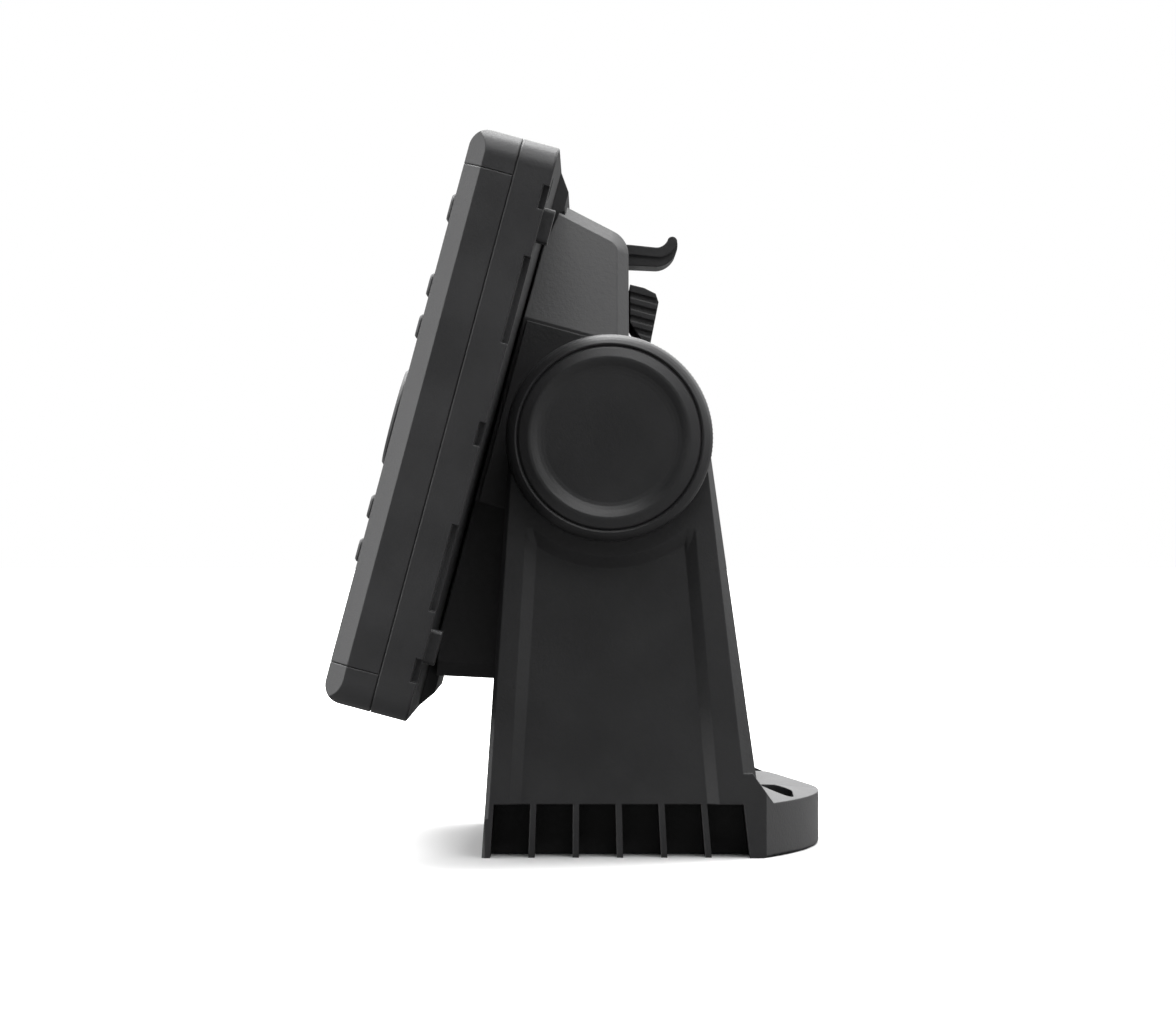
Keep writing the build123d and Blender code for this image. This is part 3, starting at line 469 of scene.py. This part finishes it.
# ------------------------------------------------------------------ finishes
@dataclass(frozen=True)
class Finish:
    """What every finish shares: a name, a colour and a roughness.

    Attributes:
        name: The material's name.
        colour: Linear red, green and blue.
        roughness: Roughness of the clean surface.
    """

    name: str
    colour: tuple[float, float, float]
    roughness: float

    def material(self) -> bpy.types.Material:
        """The finish's material, made on first use."""
        found = bpy.data.materials.get(self.name)
        if found is not None:
            return found
        made = bpy.data.materials.new(self.name)
        made.use_nodes = True
        self.wire(made.node_tree, made.node_tree.nodes["Principled BSDF"])
        made.diffuse_color = (*self.colour, 1.0)
        return made

    def wire(self, tree: bpy.types.NodeTree, shader: bpy.types.Node) -> None:
        """Set up the shader's nodes.

        Args:
            tree: The material's tree.
            shader: Its Principled BSDF.
        """
        shader.inputs["Base Color"].default_value = (*self.colour, 1.0)
        shader.inputs["Roughness"].default_value = self.roughness

    def tint(
        self, tree: bpy.types.NodeTree, base: bpy.types.NodeSocket | None, other: tuple[float, float, float],
        mask: bpy.types.NodeSocket,
    ) -> bpy.types.NodeSocket:
        """Mix another colour over a base by a mask.

        Args:
            tree: The material's tree.
            base: The colour below, or None for the finish's own.
            other: The colour on top.
            mask: Where the top colour shows.

        Returns:
            The mixed colour's socket.
        """
        mix = tree.nodes.new("ShaderNodeMix")
        mix.data_type = "RGBA"
        below, above = mix.inputs[6], mix.inputs[7]
        below.default_value = (*self.colour, 1.0)
        above.default_value = (*other, 1.0)
        if base is not None:
            tree.links.new(base, below)
        tree.links.new(mask, mix.inputs["Factor"])
        return mix.outputs[2]

    def vary_roughness(
        self, tree: bpy.types.NodeTree, shader: bpy.types.Node, mask: bpy.types.NodeSocket, spread: float,
    ) -> None:
        """Let the roughness rise above the clean value by a mask times a spread.

        Args:
            tree: The material's tree.
            shader: Its Principled BSDF.
            mask: What raises the roughness.
            spread: The most that it rises.
        """
        rise = math_node(tree, "MULTIPLY", mask, spread)
        tree.links.new(math_node(tree, "ADD", rise, self.roughness), shader.inputs["Roughness"])

    def relief(
        self, tree: bpy.types.NodeTree, shader: bpy.types.Node, height: bpy.types.NodeSocket, depth: float,
        normal: bpy.types.NodeSocket | None = None,
    ) -> None:
        """Add a bump to the shader's normal.

        Args:
            tree: The material's tree.
            shader: Its Principled BSDF.
            height: The bump's height, about 0 to 1.
            depth: What a height of 1 stands for, in metres.
            normal: The normal that the bump starts from, or None for the surface's own.
        """
        bump = tree.nodes.new("ShaderNodeBump")
        bump.inputs["Distance"].default_value = depth
        tree.links.new(height, bump.inputs["Height"])
        if normal is not None:
            tree.links.new(normal, bump.inputs["Normal"])
        tree.links.new(bump.outputs["Normal"], shader.inputs["Normal"])


@dataclass(frozen=True)
class MouldedPlastic(Finish):
    """Black glass-filled plastic from a textured mould.

    Attributes:
        pitch: Grains per metre.
        depth: Depth of the grain, in metres.
        edge: How far the softened edges reach, in metres.
        dust: Amount of dust on upward faces.
        polish: How much an edge's colour is lifted where hands have polished it.
    """

    pitch: float = 2600.0
    depth: float = 0.00003
    edge: float = 0.0005
    dust: float = 0.05
    polish: float = 0.5

    def wire(self, tree: bpy.types.NodeTree, shader: bpy.types.Node) -> None:
        """Grain drives the bump and the tone, wear lifts the edges, and dust greys upward faces."""
        grain = MouldGrain.place(tree, Pitch=self.pitch)
        wear = EdgeWear.place(tree, Reach=self.edge)
        dust = TableDust.place(tree, Amount=self.dust)
        lighter = tuple(1.25 * c + 0.002 for c in self.colour)
        rubbed = tuple(c * (1 + self.polish) + 0.006 for c in self.colour)
        tone = ramp(tree, grain.outputs["Tone"], 0.35, 0.65)
        colour = self.tint(tree, None, lighter, tone)
        colour = self.tint(tree, colour, rubbed, wear.outputs["Mask"])
        colour = self.tint(tree, colour, DUST_GREY, dust.outputs["Mask"])
        tree.links.new(colour, shader.inputs["Base Color"])
        self.vary_roughness(tree, shader, tone, 0.06)
        self.relief(tree, shader, grain.outputs["Height"], self.depth, wear.outputs["Soft Normal"])


@dataclass(frozen=True)
class SoftRubber(Finish):
    """Matt silicone or rubber with a dry bloom.

    Attributes:
        depth: Depth of its fine grain, in metres.
    """

    depth: float = 0.00002

    def wire(self, tree: bpy.types.NodeTree, shader: bpy.types.Node) -> None:
        """Slow noise gives the bloom, fine noise the grain, and a sheen lights the rims."""
        wear = EdgeWear.place(tree, Reach=0.0004)
        bloom = ramp(tree, noise(tree, 210.0, 4.0), 0.4, 0.7)
        bloomed = tuple(c + 0.012 for c in self.colour)
        tree.links.new(self.tint(tree, None, bloomed, bloom), shader.inputs["Base Color"])
        self.vary_roughness(tree, shader, bloom, 0.12)
        self.relief(tree, shader, noise(tree, 3600.0, 2.0), self.depth, wear.outputs["Soft Normal"])
        shader.inputs["Sheen Weight"].default_value = 0.12
        shader.inputs["Sheen Roughness"].default_value = 0.5


@dataclass(frozen=True)
class TurnedMetal(Finish):
    """Turned or drawn metal with fine rings about the X axis."""

    def wire(self, tree: bpy.types.NodeTree, shader: bpy.types.Node) -> None:
        """Noise drawn out along two axes leaves tool marks in the bump and the roughness."""
        marks = noise(tree, 90.0, 3.0, Vector((40.0, 1.0, 1.0)))
        stain = ramp(tree, noise(tree, 130.0, 4.0), 0.45, 0.75)
        darker = tuple(0.72 * c for c in self.colour)
        tree.links.new(self.tint(tree, None, darker, stain), shader.inputs["Base Color"])
        shader.inputs["Metallic"].default_value = 1.0
        self.vary_roughness(tree, shader, ramp(tree, marks, 0.3, 0.7), 0.14)
        self.relief(tree, shader, marks, 0.00002)


@dataclass(frozen=True)
class CoverGlass(Finish):
    """Bonded glass over a switched-off display, with its printed border.

    Attributes:
        centre: Middle of the display's lit area, in metres.
        half_across: Half the lit area's size along X, in metres.
        half_high: Half its size along Z.
        blur: How far the printed border's edge is softened to each side.
        lit_colour: Colour of the display while it is off.
    """

    centre: tuple[float, float, float] = (0.0, 0.0, 0.0)
    half_across: float = 0.077
    half_high: float = 0.043
    blur: float = 0.0001
    lit_colour: tuple[float, float, float] = (0.0125, 0.015, 0.019)

    def wire(self, tree: bpy.types.NodeTree, shader: bpy.types.Node) -> None:
        """A box mask over the piece parts the display's blue-grey from the border's black."""
        place = tree.nodes.new("ShaderNodeTexCoord").outputs["Object"]
        offset = tree.nodes.new("ShaderNodeVectorMath")
        offset.operation = "SUBTRACT"
        offset.inputs[1].default_value = self.centre
        tree.links.new(place, offset.inputs[0])
        size = tree.nodes.new("ShaderNodeVectorMath")
        size.operation = "ABSOLUTE"
        tree.links.new(offset.outputs["Vector"], size.inputs[0])
        parts = tree.nodes.new("ShaderNodeSeparateXYZ")
        tree.links.new(size.outputs["Vector"], parts.inputs["Vector"])
        inside = math_node(
            tree, "MULTIPLY",
            ramp(tree, parts.outputs["X"], self.half_across + self.blur, self.half_across - self.blur),
            ramp(tree, parts.outputs["Z"], self.half_high + self.blur, self.half_high - self.blur),
        )
        tree.links.new(self.tint(tree, None, self.lit_colour, inside), shader.inputs["Base Color"])
        smears = ramp(tree, noise(tree, 34.0, 5.0, Vector((1.0, 1.0, 2.6))), 0.5, 0.8)
        self.vary_roughness(tree, shader, smears, 0.07)
        shader.inputs["Coat Weight"].default_value = 0.6
        shader.inputs["Coat Roughness"].default_value = 0.03


@dataclass(frozen=True)
class CircuitBoard(Finish):
    """Green solder mask with lighter tracks."""

    def wire(self, tree: bpy.types.NodeTree, shader: bpy.types.Node) -> None:
        """Cells drawn out along the board stand for tracks and pads."""
        tracks = ramp(tree, noise(tree, 420.0, 0.0, Vector((1.0, 4.0, 4.0))), 0.52, 0.56)
        tree.links.new(self.tint(tree, None, (0.05, 0.2, 0.08), tracks), shader.inputs["Base Color"])
        self.vary_roughness(tree, shader, tracks, 0.1)
        self.relief(tree, shader, tracks, 0.00003)


@dataclass(frozen=True)
class PaintedMark(Finish):
    """Pale pad-printed ink, a little worn."""

    def wire(self, tree: bpy.types.NodeTree, shader: bpy.types.Node) -> None:
        """Worn specks let the ink's colour darken."""
        specks = ramp(tree, noise(tree, 1500.0, 3.0), 0.6, 0.75)
        worn = tuple(0.55 * c for c in self.colour)
        tree.links.new(self.tint(tree, None, worn, specks), shader.inputs["Base Color"])
        self.vary_roughness(tree, shader, specks, 0.15)


class Finishes:
    """Every finish on the object."""

    housing = MouldedPlastic("housing_plastic", (0.021, 0.021, 0.022), 0.42, dust=0.03)
    trim = MouldedPlastic("trim_plastic", (0.023, 0.023, 0.024), 0.40, pitch=3000.0, dust=0.02)
    cradle = MouldedPlastic("cradle_plastic", (0.024, 0.024, 0.025), 0.45, pitch=2200.0)
    bail = MouldedPlastic("bail_plastic", (0.020, 0.020, 0.021), 0.44, pitch=2400.0, depth=0.00004)
    knob = MouldedPlastic("knob_plastic", (0.018, 0.018, 0.019), 0.40, pitch=3400.0, depth=0.00002)
    connector = MouldedPlastic("connector_nylon", (0.016, 0.016, 0.017), 0.36, pitch=3200.0)
    bush = MouldedPlastic("bush_acetal", (0.09, 0.09, 0.09), 0.30, pitch=3200.0, depth=0.00001)
    screen_case = MouldedPlastic("display_case", (0.05, 0.05, 0.055), 0.5, pitch=3200.0)
    keys = SoftRubber("key_rubber", (0.016, 0.016, 0.017), 0.55)
    rubber = SoftRubber("seal_rubber", (0.012, 0.012, 0.012), 0.65)
    brass = TurnedMetal("plated_brass", (0.72, 0.55, 0.27), 0.24)
    steel = TurnedMetal("stainless_steel", (0.56, 0.56, 0.57), 0.26)
    aluminium = TurnedMetal("sheet_aluminium", (0.74, 0.74, 0.75), 0.34)
    board = CircuitBoard("board_green", (0.02, 0.11, 0.045), 0.38)
    ink = PaintedMark("printed_ink", (0.42, 0.43, 0.44), 0.5)


def dress(finish: Finish, *nodes: str) -> None:
    """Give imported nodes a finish.

    Args:
        finish: The finish.
        nodes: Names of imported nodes.
    """
    for name in nodes:
        node = bpy.data.objects[name]
        node.data.materials.clear()
        node.data.materials.append(finish.material())
        LOG.info("dressed %s in %s", name, finish.name)


def finish_piece(piece: bpy.types.Object, finish: Finish, body: str) -> None:
    """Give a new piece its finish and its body.

    Args:
        piece: The new piece.
        finish: Its finish.
        body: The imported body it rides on.
    """
    piece.data.materials.append(finish.material())
    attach(piece, body)
    LOG.info("made %s on %s", piece.name, body)


# ------------------------------------------------------------------ sub-assemblies
@dataclass
class KeyLegends:
    """Pad-printed marks on the keys, as thin raised ribbons.

    Attributes:
        axes: The head's axes.
        line: Width of a ribbon, in metres.
        thick: How far a ribbon stands proud.
        sink: How far it reaches into the key.
    """

    axes: HeadAxes
    line: float = 0.55 * MM
    thick: float = 0.06 * MM
    sink: float = 0.02 * MM

    def ribbon(self, path: np.ndarray, out: float, closed: bool = False) -> tuple[np.ndarray, bool, bool]:
        """Carry a flat rectangle along a path: each path point moved half a width to both sides.

        Args:
            path: Pairs of distance across and up the face.
            out: Height of the key's face over the glass.
            closed: Whether the path is a loop.

        Returns:
            A grid for Surface.build.
        """
        if closed:
            step = np.roll(path, -1, axis=0) - np.roll(path, 1, axis=0)
        else:
            step = np.gradient(path, axis=0)
        step = step / np.linalg.norm(step, axis=1, keepdims=True)
        aside = np.stack([-step[:, 1], step[:, 0]], axis=1) * self.line / 2
        left, right = path + aside, path - aside
        low, high = out - self.sink, out + self.thick
        corners = [(left, low), (left, high), (right, high), (right, low)]
        rings = [
            self.axes.place(edge[:, 0], edge[:, 1], np.full(len(edge), level)) for edge, level in corners
        ]
        return np.stack(rings, axis=1), closed, True

    @staticmethod
    def stroke(*points: tuple[float, float]) -> np.ndarray:
        """An open path through points given in millimetres, each stretch cut in four."""
        corner = np.array(points, float) * MM
        t = np.linspace(0.0, len(corner) - 1, 4 * (len(corner) - 1) + 1)
        whole = np.minimum(t.astype(int), len(corner) - 2)
        share = (t - whole)[:, None]
        return corner[whole] * (1 - share) + corner[whole + 1] * share

    @staticmethod
    def arc(radius: float, start: float, stop: float, steps: int = 24) -> np.ndarray:
        """Part of a circle: radius in millimetres, angles in degrees from straight up."""
        angle = np.radians(np.linspace(start, stop, steps))
        return np.stack([np.sin(angle), np.cos(angle)], axis=1) * radius * MM

    def marks(self) -> dict[str, list[np.ndarray]]:
        """Each key's strokes about its own middle."""
        return {
            "power_key": [self.arc(1.7, 35, 325), self.stroke((0, 0.4), (0, 2.3))],
            "menu_key": [self.stroke((-2, y), (2, y)) for y in (-1.1, 0.0, 1.1)],
            "back_key": [
                self.stroke((-0.4, 1.5), (-2.2, 0), (-0.4, -1.5)), self.stroke((-2.0, 0), (2.2, 0)),
            ],
            "enter_key": [self.stroke((-1.7, 0.1), (-0.5, -1.2), (2.0, 1.4))],
            "mark_key": [self.stroke((-1.5, 0), (1.5, 0)), self.stroke((0, -1.5), (0, 1.5))],
            "arrow_pad": [
                self.turned(self.stroke((-1.7, 8.0), (0, 9.7), (1.7, 8.0)), quarter) for quarter in range(4)
            ],
        }

    @staticmethod
    def turned(path: np.ndarray, quarter: int) -> np.ndarray:
        """The path turned by quarters of a circle."""
        angle = quarter * math.pi / 2
        turn = np.array([[math.cos(angle), math.sin(angle)], [-math.sin(angle), math.cos(angle)]])
        return path @ turn

    def build(self) -> None:
        """Print every key's marks on its face."""
        for key, paths in self.marks().items():
            low, high = (np.array(corner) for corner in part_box(key))
            middle = (low + high) / 2 - self.axes.origin
            across, up = middle[0], float(middle @ self.axes.up())
            out = self.face_of(key)
            grids = [self.ribbon(path + [across, up], out) for path in paths]
            piece = Surface.build(f"legend_{key}", grids, caps=True)
            finish_piece(piece, Finishes.ink, key)

    def face_of(self, key: str) -> float:
        """Height of a key's outer face over the glass.

        Args:
            key: The key's node.

        Returns:
            The height, in metres.
        """
        mesh = bpy.data.objects[key].data
        points = np.empty(3 * len(mesh.vertices))
        mesh.vertices.foreach_get("co", points)
        out = (points.reshape(-1, 3) - self.axes.origin) @ self.axes.outward()
        return float(out.max())


@dataclass
class DisplayHead:
    """The head: housings, glass, keys and what shows of its inside.

    Attributes:
        axes: The head's axes.
        lit_half_width: Half the width of the display's lit area, in metres.
        lit_half_height: Half its height along the face.
    """

    axes: HeadAxes
    lit_half_width: float = 77.0 * MM
    lit_half_height: float = 43.5 * MM

    def glass(self) -> CoverGlass:
        """The cover glass's finish, with its lit area placed on the glass."""
        low, high = (np.array(corner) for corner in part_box("cover_glass"))
        middle = tuple(float(value) for value in (low + high) / 2)
        half_high = self.lit_half_height * math.cos(LEAN)
        return CoverGlass(
            "cover_glass_black", (0.004, 0.004, 0.005), 0.06,
            centre=middle, half_across=self.lit_half_width, half_high=half_high,
        )

    def dress(self) -> None:
        """Give every node of the head its finish."""
        dress(Finishes.housing, "front_bezel", "back_housing")
        dress(Finishes.trim, "trim_cap_left", "trim_cap_right")
        dress(self.glass(), "cover_glass")
        dress(Finishes.keys, "power_key", "menu_key", "back_key", "arrow_pad", "enter_key", "mark_key")
        dress(Finishes.rubber, "glass_gasket", "keypad_mat", "housing_gasket", "vent_plug")
        dress(Finishes.steel, "housing_screws")
        dress(Finishes.connector, "contact_socket", "beeper")
        dress(Finishes.screen_case, "lcd_module")
        dress(Finishes.aluminium, "heat_spreader")
        dress(Finishes.board, "main_board")

    def build(self) -> None:
        """Dress the head and print its keys."""
        self.dress()
        KeyLegends(self.axes).build()


@dataclass
class Cradle:
    """The cradle with its contacts, cable ports, release lever and cable lock.

    Attributes:
        ports: Number of cable ports.
        pitch: Distance between them, in metres.
        thread_depth: Depth of the thread on each port.
        thread_pitch: Its pitch.
        thread_length: Length of the threaded sleeve.
        thread_run_out: Length over which the thread fades at each end.
        sleeve_wall: How far the sleeve reaches into the port.
        sleeve_steps: Points round a sleeve.
        sleeve_rows: Points along a sleeve.
    """

    ports: int = 4
    pitch: float = 17.5 * MM
    thread_depth: float = 0.35 * MM
    thread_pitch: float = 1.6 * MM
    thread_length: float = 5.0 * MM
    thread_run_out: float = 0.7 * MM
    sleeve_wall: float = 0.15 * MM
    sleeve_steps: int = 64
    sleeve_rows: int = 26

    def dress(self) -> None:
        """Give every node of the cradle its finish."""
        dress(Finishes.cradle, "cradle_shell", "cradle_cover", "release_lever", "cable_lock")
        dress(Finishes.connector, "contact_block", "cable_ports")
        dress(Finishes.brass, "contact_pins", "port_pins", "thread_insert_left", "thread_insert_right")
        dress(Finishes.steel, "cradle_screws", "lever_pin")
        dress(Finishes.rubber, "friction_washer_left", "friction_washer_right")

    def port_thread(self) -> bpy.types.Object:
        """Threads round the ports: the radius rises and falls once per pitch and once per turn.

        Returns:
            One piece with a threaded sleeve round each port.
        """
        low, high = (np.array(corner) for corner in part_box("cable_ports"))
        outer = (high[2] - low[2]) / 2
        inner = outer - self.sleeve_wall
        length, rows = self.thread_length, self.sleeve_rows
        along = np.linspace(0.0, length, rows)
        angle = np.linspace(0.0, 2 * math.pi, self.sleeve_steps, endpoint=False)
        phase = 2 * math.pi * along[None, :] / self.thread_pitch + angle[:, None]
        fade = np.clip(np.minimum(along, length - along) / self.thread_run_out, 0.0, 1.0)
        wave = self.thread_depth * (0.5 + 0.5 * np.cos(phase)) * fade
        outside = np.stack([np.full(rows, outer), along], axis=1)
        profile = np.concatenate([outside, [[inner, length], [inner, 0.0]]])
        ripple = np.concatenate([wave, np.zeros((self.sleeve_steps, 2))], axis=1)
        inwards = np.array([0.0, -1.0, 0.0])
        grids = []
        for index in range(self.ports):
            across = (index - (self.ports - 1) / 2) * self.pitch
            mouth = np.array([across, high[1], (low[2] + high[2]) / 2])
            grids.append(Surface.lathe(profile, mouth, inwards, self.sleeve_steps, ripple))
        piece = Surface.build("port_threads", grids)
        Surface.smooth(piece, SHARP_EDGE)
        return piece

    def build(self) -> None:
        """Dress the cradle and add its fine pieces."""
        self.dress()
        finish_piece(self.port_thread(), Finishes.connector, "cradle")


@dataclass
class ClampKnob:
    """One clamp knob: a finely grooved rim round the turned face.

    Attributes:
        hand: Which side it is on.
        grooves: Number of grooves round the rim.
        groove_depth: Depth of a groove, in metres.
        proud: How far the band stands out of the grip.
        sink: How far it reaches into the grip.
        near_edge: Distance from the grip's inner face to the band.
        far_edge: Distance from the grip's outer face to the band.
        flank: How much wider the band is where it meets the grip.
        rounding: Rounding of the band's corners.
        groove_steps: Points across one groove.
    """

    hand: Hand
    grooves: int = 150
    groove_depth: float = 0.22 * MM
    proud: float = 0.12 * MM
    sink: float = 0.6 * MM
    near_edge: float = 0.8 * MM
    far_edge: float = 4.3 * MM
    flank: tuple[float, float] = (0.2 * MM, 0.4 * MM)
    rounding: float = 0.2 * MM
    groove_steps: int = 6

    def dress(self) -> None:
        """Give every node of the knob its finish."""
        dress(Finishes.knob, f"knob_grip_{self.hand.word}", f"knob_cap_{self.hand.word}")
        dress(Finishes.steel, f"knob_stud_{self.hand.word}", f"knob_washer_{self.hand.word}")

    def rim(self) -> bpy.types.Object:
        """Grooved band: its outer radius falls by a rounded tooth wave as the angle turns.

        Returns:
            The closed band round the knob.
        """
        low, high = (np.array(corner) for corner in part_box(f"knob_grip_{self.hand.word}"))
        centre = (low + high) / 2
        centre[0] = low[0] if self.hand is Hand.RIGHT else high[0]
        radius = (high[2] - low[2]) / 2
        width = high[0] - low[0]
        root, top = radius - self.sink, radius + self.proud
        corners = [
            (root, self.near_edge - self.flank[0]), (top, self.near_edge),
            (top, width - self.far_edge), (root, width - self.far_edge + self.flank[1]),
        ]
        profile = Surface.rounded_loop(corners, self.rounding, 3)
        steps = self.grooves * self.groove_steps
        angle = np.linspace(0.0, 2 * math.pi, steps, endpoint=False)
        tooth = 0.5 - 0.5 * np.cos(self.grooves * angle)
        reach = 0.5 * MM
        share = np.clip((profile[:, 0] - (radius - reach)) / reach, 0.0, 1.0)
        ripple = -self.groove_depth * tooth[:, None] * share[None, :]
        axis = np.array([float(self.hand.value), 0.0, 0.0])
        band = Surface.lathe(profile, centre, axis, steps, ripple)
        piece = Surface.build(f"knob_rim_{self.hand.word}", [band])
        Surface.smooth(piece, SHARP_EDGE)
        return piece

    def build(self) -> None:
        """Dress the knob and add its rim."""
        self.dress()
        finish_piece(self.rim(), Finishes.knob, f"knob_{self.hand.word}")


@dataclass
class BailBracket:
    """The bail and its bushes."""

    def build(self) -> None:
        """Give the bail's nodes their finishes."""
        dress(Finishes.bail, "bail_bracket")
        dress(Finishes.bush, "pivot_bush_left", "pivot_bush_right")


# ------------------------------------------------------------------ studio
@dataclass(frozen=True)
class SoftBox:
    """An area light that faces the object.

    Attributes:
        name: The light's name.
        place: Where it stands, in metres.
        size: Its width and height, in metres.
        power: Its power, in watts.
    """

    name: str
    place: tuple[float, float, float]
    size: tuple[float, float]
    power: float

    def build(self, target: tuple[float, float, float]) -> None:
        """Hang the light and turn it.

        Args:
            target: The point that it faces, in metres.
        """
        data = bpy.data.lights.new(self.name, "AREA")
        data.shape = "RECTANGLE"
        data.size, data.size_y = self.size
        data.energy = self.power
        light = bpy.data.objects.new(self.name, data)
        light.location = self.place
        aim = Vector(target) - Vector(self.place)
        light.rotation_euler = aim.to_track_quat("-Z", "Y").to_euler()
        bpy.context.scene.collection.objects.link(light)


@dataclass
class Studio:
    """White table, soft boxes and the camera.

    Attributes:
        eye: The camera's place, in metres.
        lens: Its focal length, in millimetres.
        sensor: Its sensor's width, in millimetres.
        target: The point that every light faces.
        boxes: The soft boxes: overhead, high at the camera's side, before the screen and behind.
        back_light: Strength of the room high up on the far side.
        fill_light: Strength of the room everywhere.
        floor_half: Half the floor's size, in metres.
        floor_white: How light the floor is to the eye.
        floor_bounce: How light it is to anything else.
        shadow_reach: Distances at which the floor starts to glow and is wholly white.
    """

    eye: tuple[float, float, float] = (1.400, -0.0174, 0.0896)
    lens: float = 159.6
    sensor: float = 36.0
    target: tuple[float, float, float] = (0.0, -0.01, 0.09)
    boxes: tuple[SoftBox, ...] = (
        SoftBox("box_overhead", (-0.20, -0.30, 1.28), (1.2, 1.2), 36.0),
        SoftBox("box_high_side", (0.85, 0.25, 1.05), (0.9, 0.9), 8.0),
        SoftBox("box_front", (0.55, -1.20, 0.28), (0.9, 0.7), 10.0),
        SoftBox("box_rear", (0.60, 1.15, 0.50), (0.6, 1.0), 2.5),
    )
    back_light: float = 3.2
    fill_light: float = 0.14
    floor_half: float = 6.0
    floor_white: float = 0.86
    floor_bounce: float = 0.12
    shadow_reach: tuple[float, float] = (0.22, 0.75)

    def camera(self) -> None:
        """Look along -X at the right-hand side."""
        data = bpy.data.cameras.new("camera")
        data.lens = self.lens
        data.sensor_width = self.sensor
        data.clip_start = 0.05
        data.clip_end = 50.0
        camera = bpy.data.objects.new("camera", data)
        camera.location = self.eye
        camera.rotation_euler = (math.pi / 2, 0.0, math.pi / 2)
        bpy.context.scene.collection.objects.link(camera)
        bpy.context.scene.camera = camera

    def table(self) -> None:
        """A pale floor that runs to the horizon, darker to reflections than to the eye."""
        half = self.floor_half
        corners = [(-half, -half, 0.0), (half, -half, 0.0), (half, half, 0.0), (-half, half, 0.0)]
        mesh = bpy.data.meshes.new("table")
        mesh.from_pydata(corners, [], [(0, 1, 2, 3)])
        floor = bpy.data.objects.new("table", mesh)
        bpy.context.scene.collection.objects.link(floor)
        material = bpy.data.materials.new("table_white")
        material.use_nodes = True
        tree = material.node_tree
        shader = tree.nodes["Principled BSDF"]
        seen = tree.nodes.new("ShaderNodeLightPath").outputs["Is Camera Ray"]
        place = tree.nodes.new("ShaderNodeVectorMath")
        place.operation = "LENGTH"
        tree.links.new(tree.nodes.new("ShaderNodeTexCoord").outputs["Object"], place.inputs[0])
        far = ramp(tree, place.outputs["Value"], *self.shadow_reach)
        mix = tree.nodes.new("ShaderNodeMix")
        mix.data_type = "RGBA"
        mix.inputs[6].default_value = (*(self.floor_bounce,) * 3, 1.0)
        mix.inputs[7].default_value = (*(self.floor_white,) * 3, 1.0)
        tree.links.new(seen, mix.inputs["Factor"])
        tree.links.new(mix.outputs[2], shader.inputs["Base Color"])
        shader.inputs["Emission Color"].default_value = (1.0, 1.0, 1.0, 1.0)
        tree.links.new(math_node(tree, "MULTIPLY", far, seen), shader.inputs["Emission Strength"])
        shader.inputs["Roughness"].default_value = 0.7
        shader.inputs["Specular IOR Level"].default_value = 0.1
        floor.data.materials.append(material)

    def backdrop(self) -> None:
        """White to the eye; as a light it is bright high up behind the object and dim elsewhere."""
        world = bpy.data.worlds.new("white_room")
        world.use_nodes = True
        tree = world.node_tree
        background = tree.nodes["Background"]
        parts = tree.nodes.new("ShaderNodeSeparateXYZ")
        tree.links.new(tree.nodes.new("ShaderNodeTexCoord").outputs["Generated"], parts.inputs["Vector"])
        high = ramp(tree, parts.outputs["Z"], 0.04, 0.40)
        behind = math_node(tree, "MULTIPLY", ramp(tree, parts.outputs["X"], 0.25, -0.45), high)
        light = math_node(tree, "ADD", math_node(tree, "MULTIPLY", behind, self.back_light), self.fill_light)
        seen = tree.nodes.new("ShaderNodeLightPath").outputs["Is Camera Ray"]
        unseen = math_node(tree, "MULTIPLY", math_node(tree, "SUBTRACT", 1.0, seen), light)
        tree.links.new(math_node(tree, "ADD", unseen, seen), background.inputs["Strength"])
        background.inputs["Color"].default_value = (1.0, 1.0, 1.0, 1.0)
        bpy.context.scene.world = world

    def build(self) -> None:
        """Set up the camera, the table, the room and the lights."""
        self.camera()
        self.table()
        self.backdrop()
        for box in self.boxes:
            box.build(self.target)
        view = bpy.context.scene.view_settings
        view.view_transform = "Standard"
        view.look = "None"


def main() -> None:
    """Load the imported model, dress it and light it."""
    logging.basicConfig(level=logging.INFO, format="%(name)s: %(message)s")
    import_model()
    axes = HeadAxes.from_frame()
    DisplayHead(axes).build()
    Cradle().build()
    for hand in Hand:
        ClampKnob(hand).build()
    BailBracket().build()
    Studio().build()


if __name__ == "__main__":
    main()
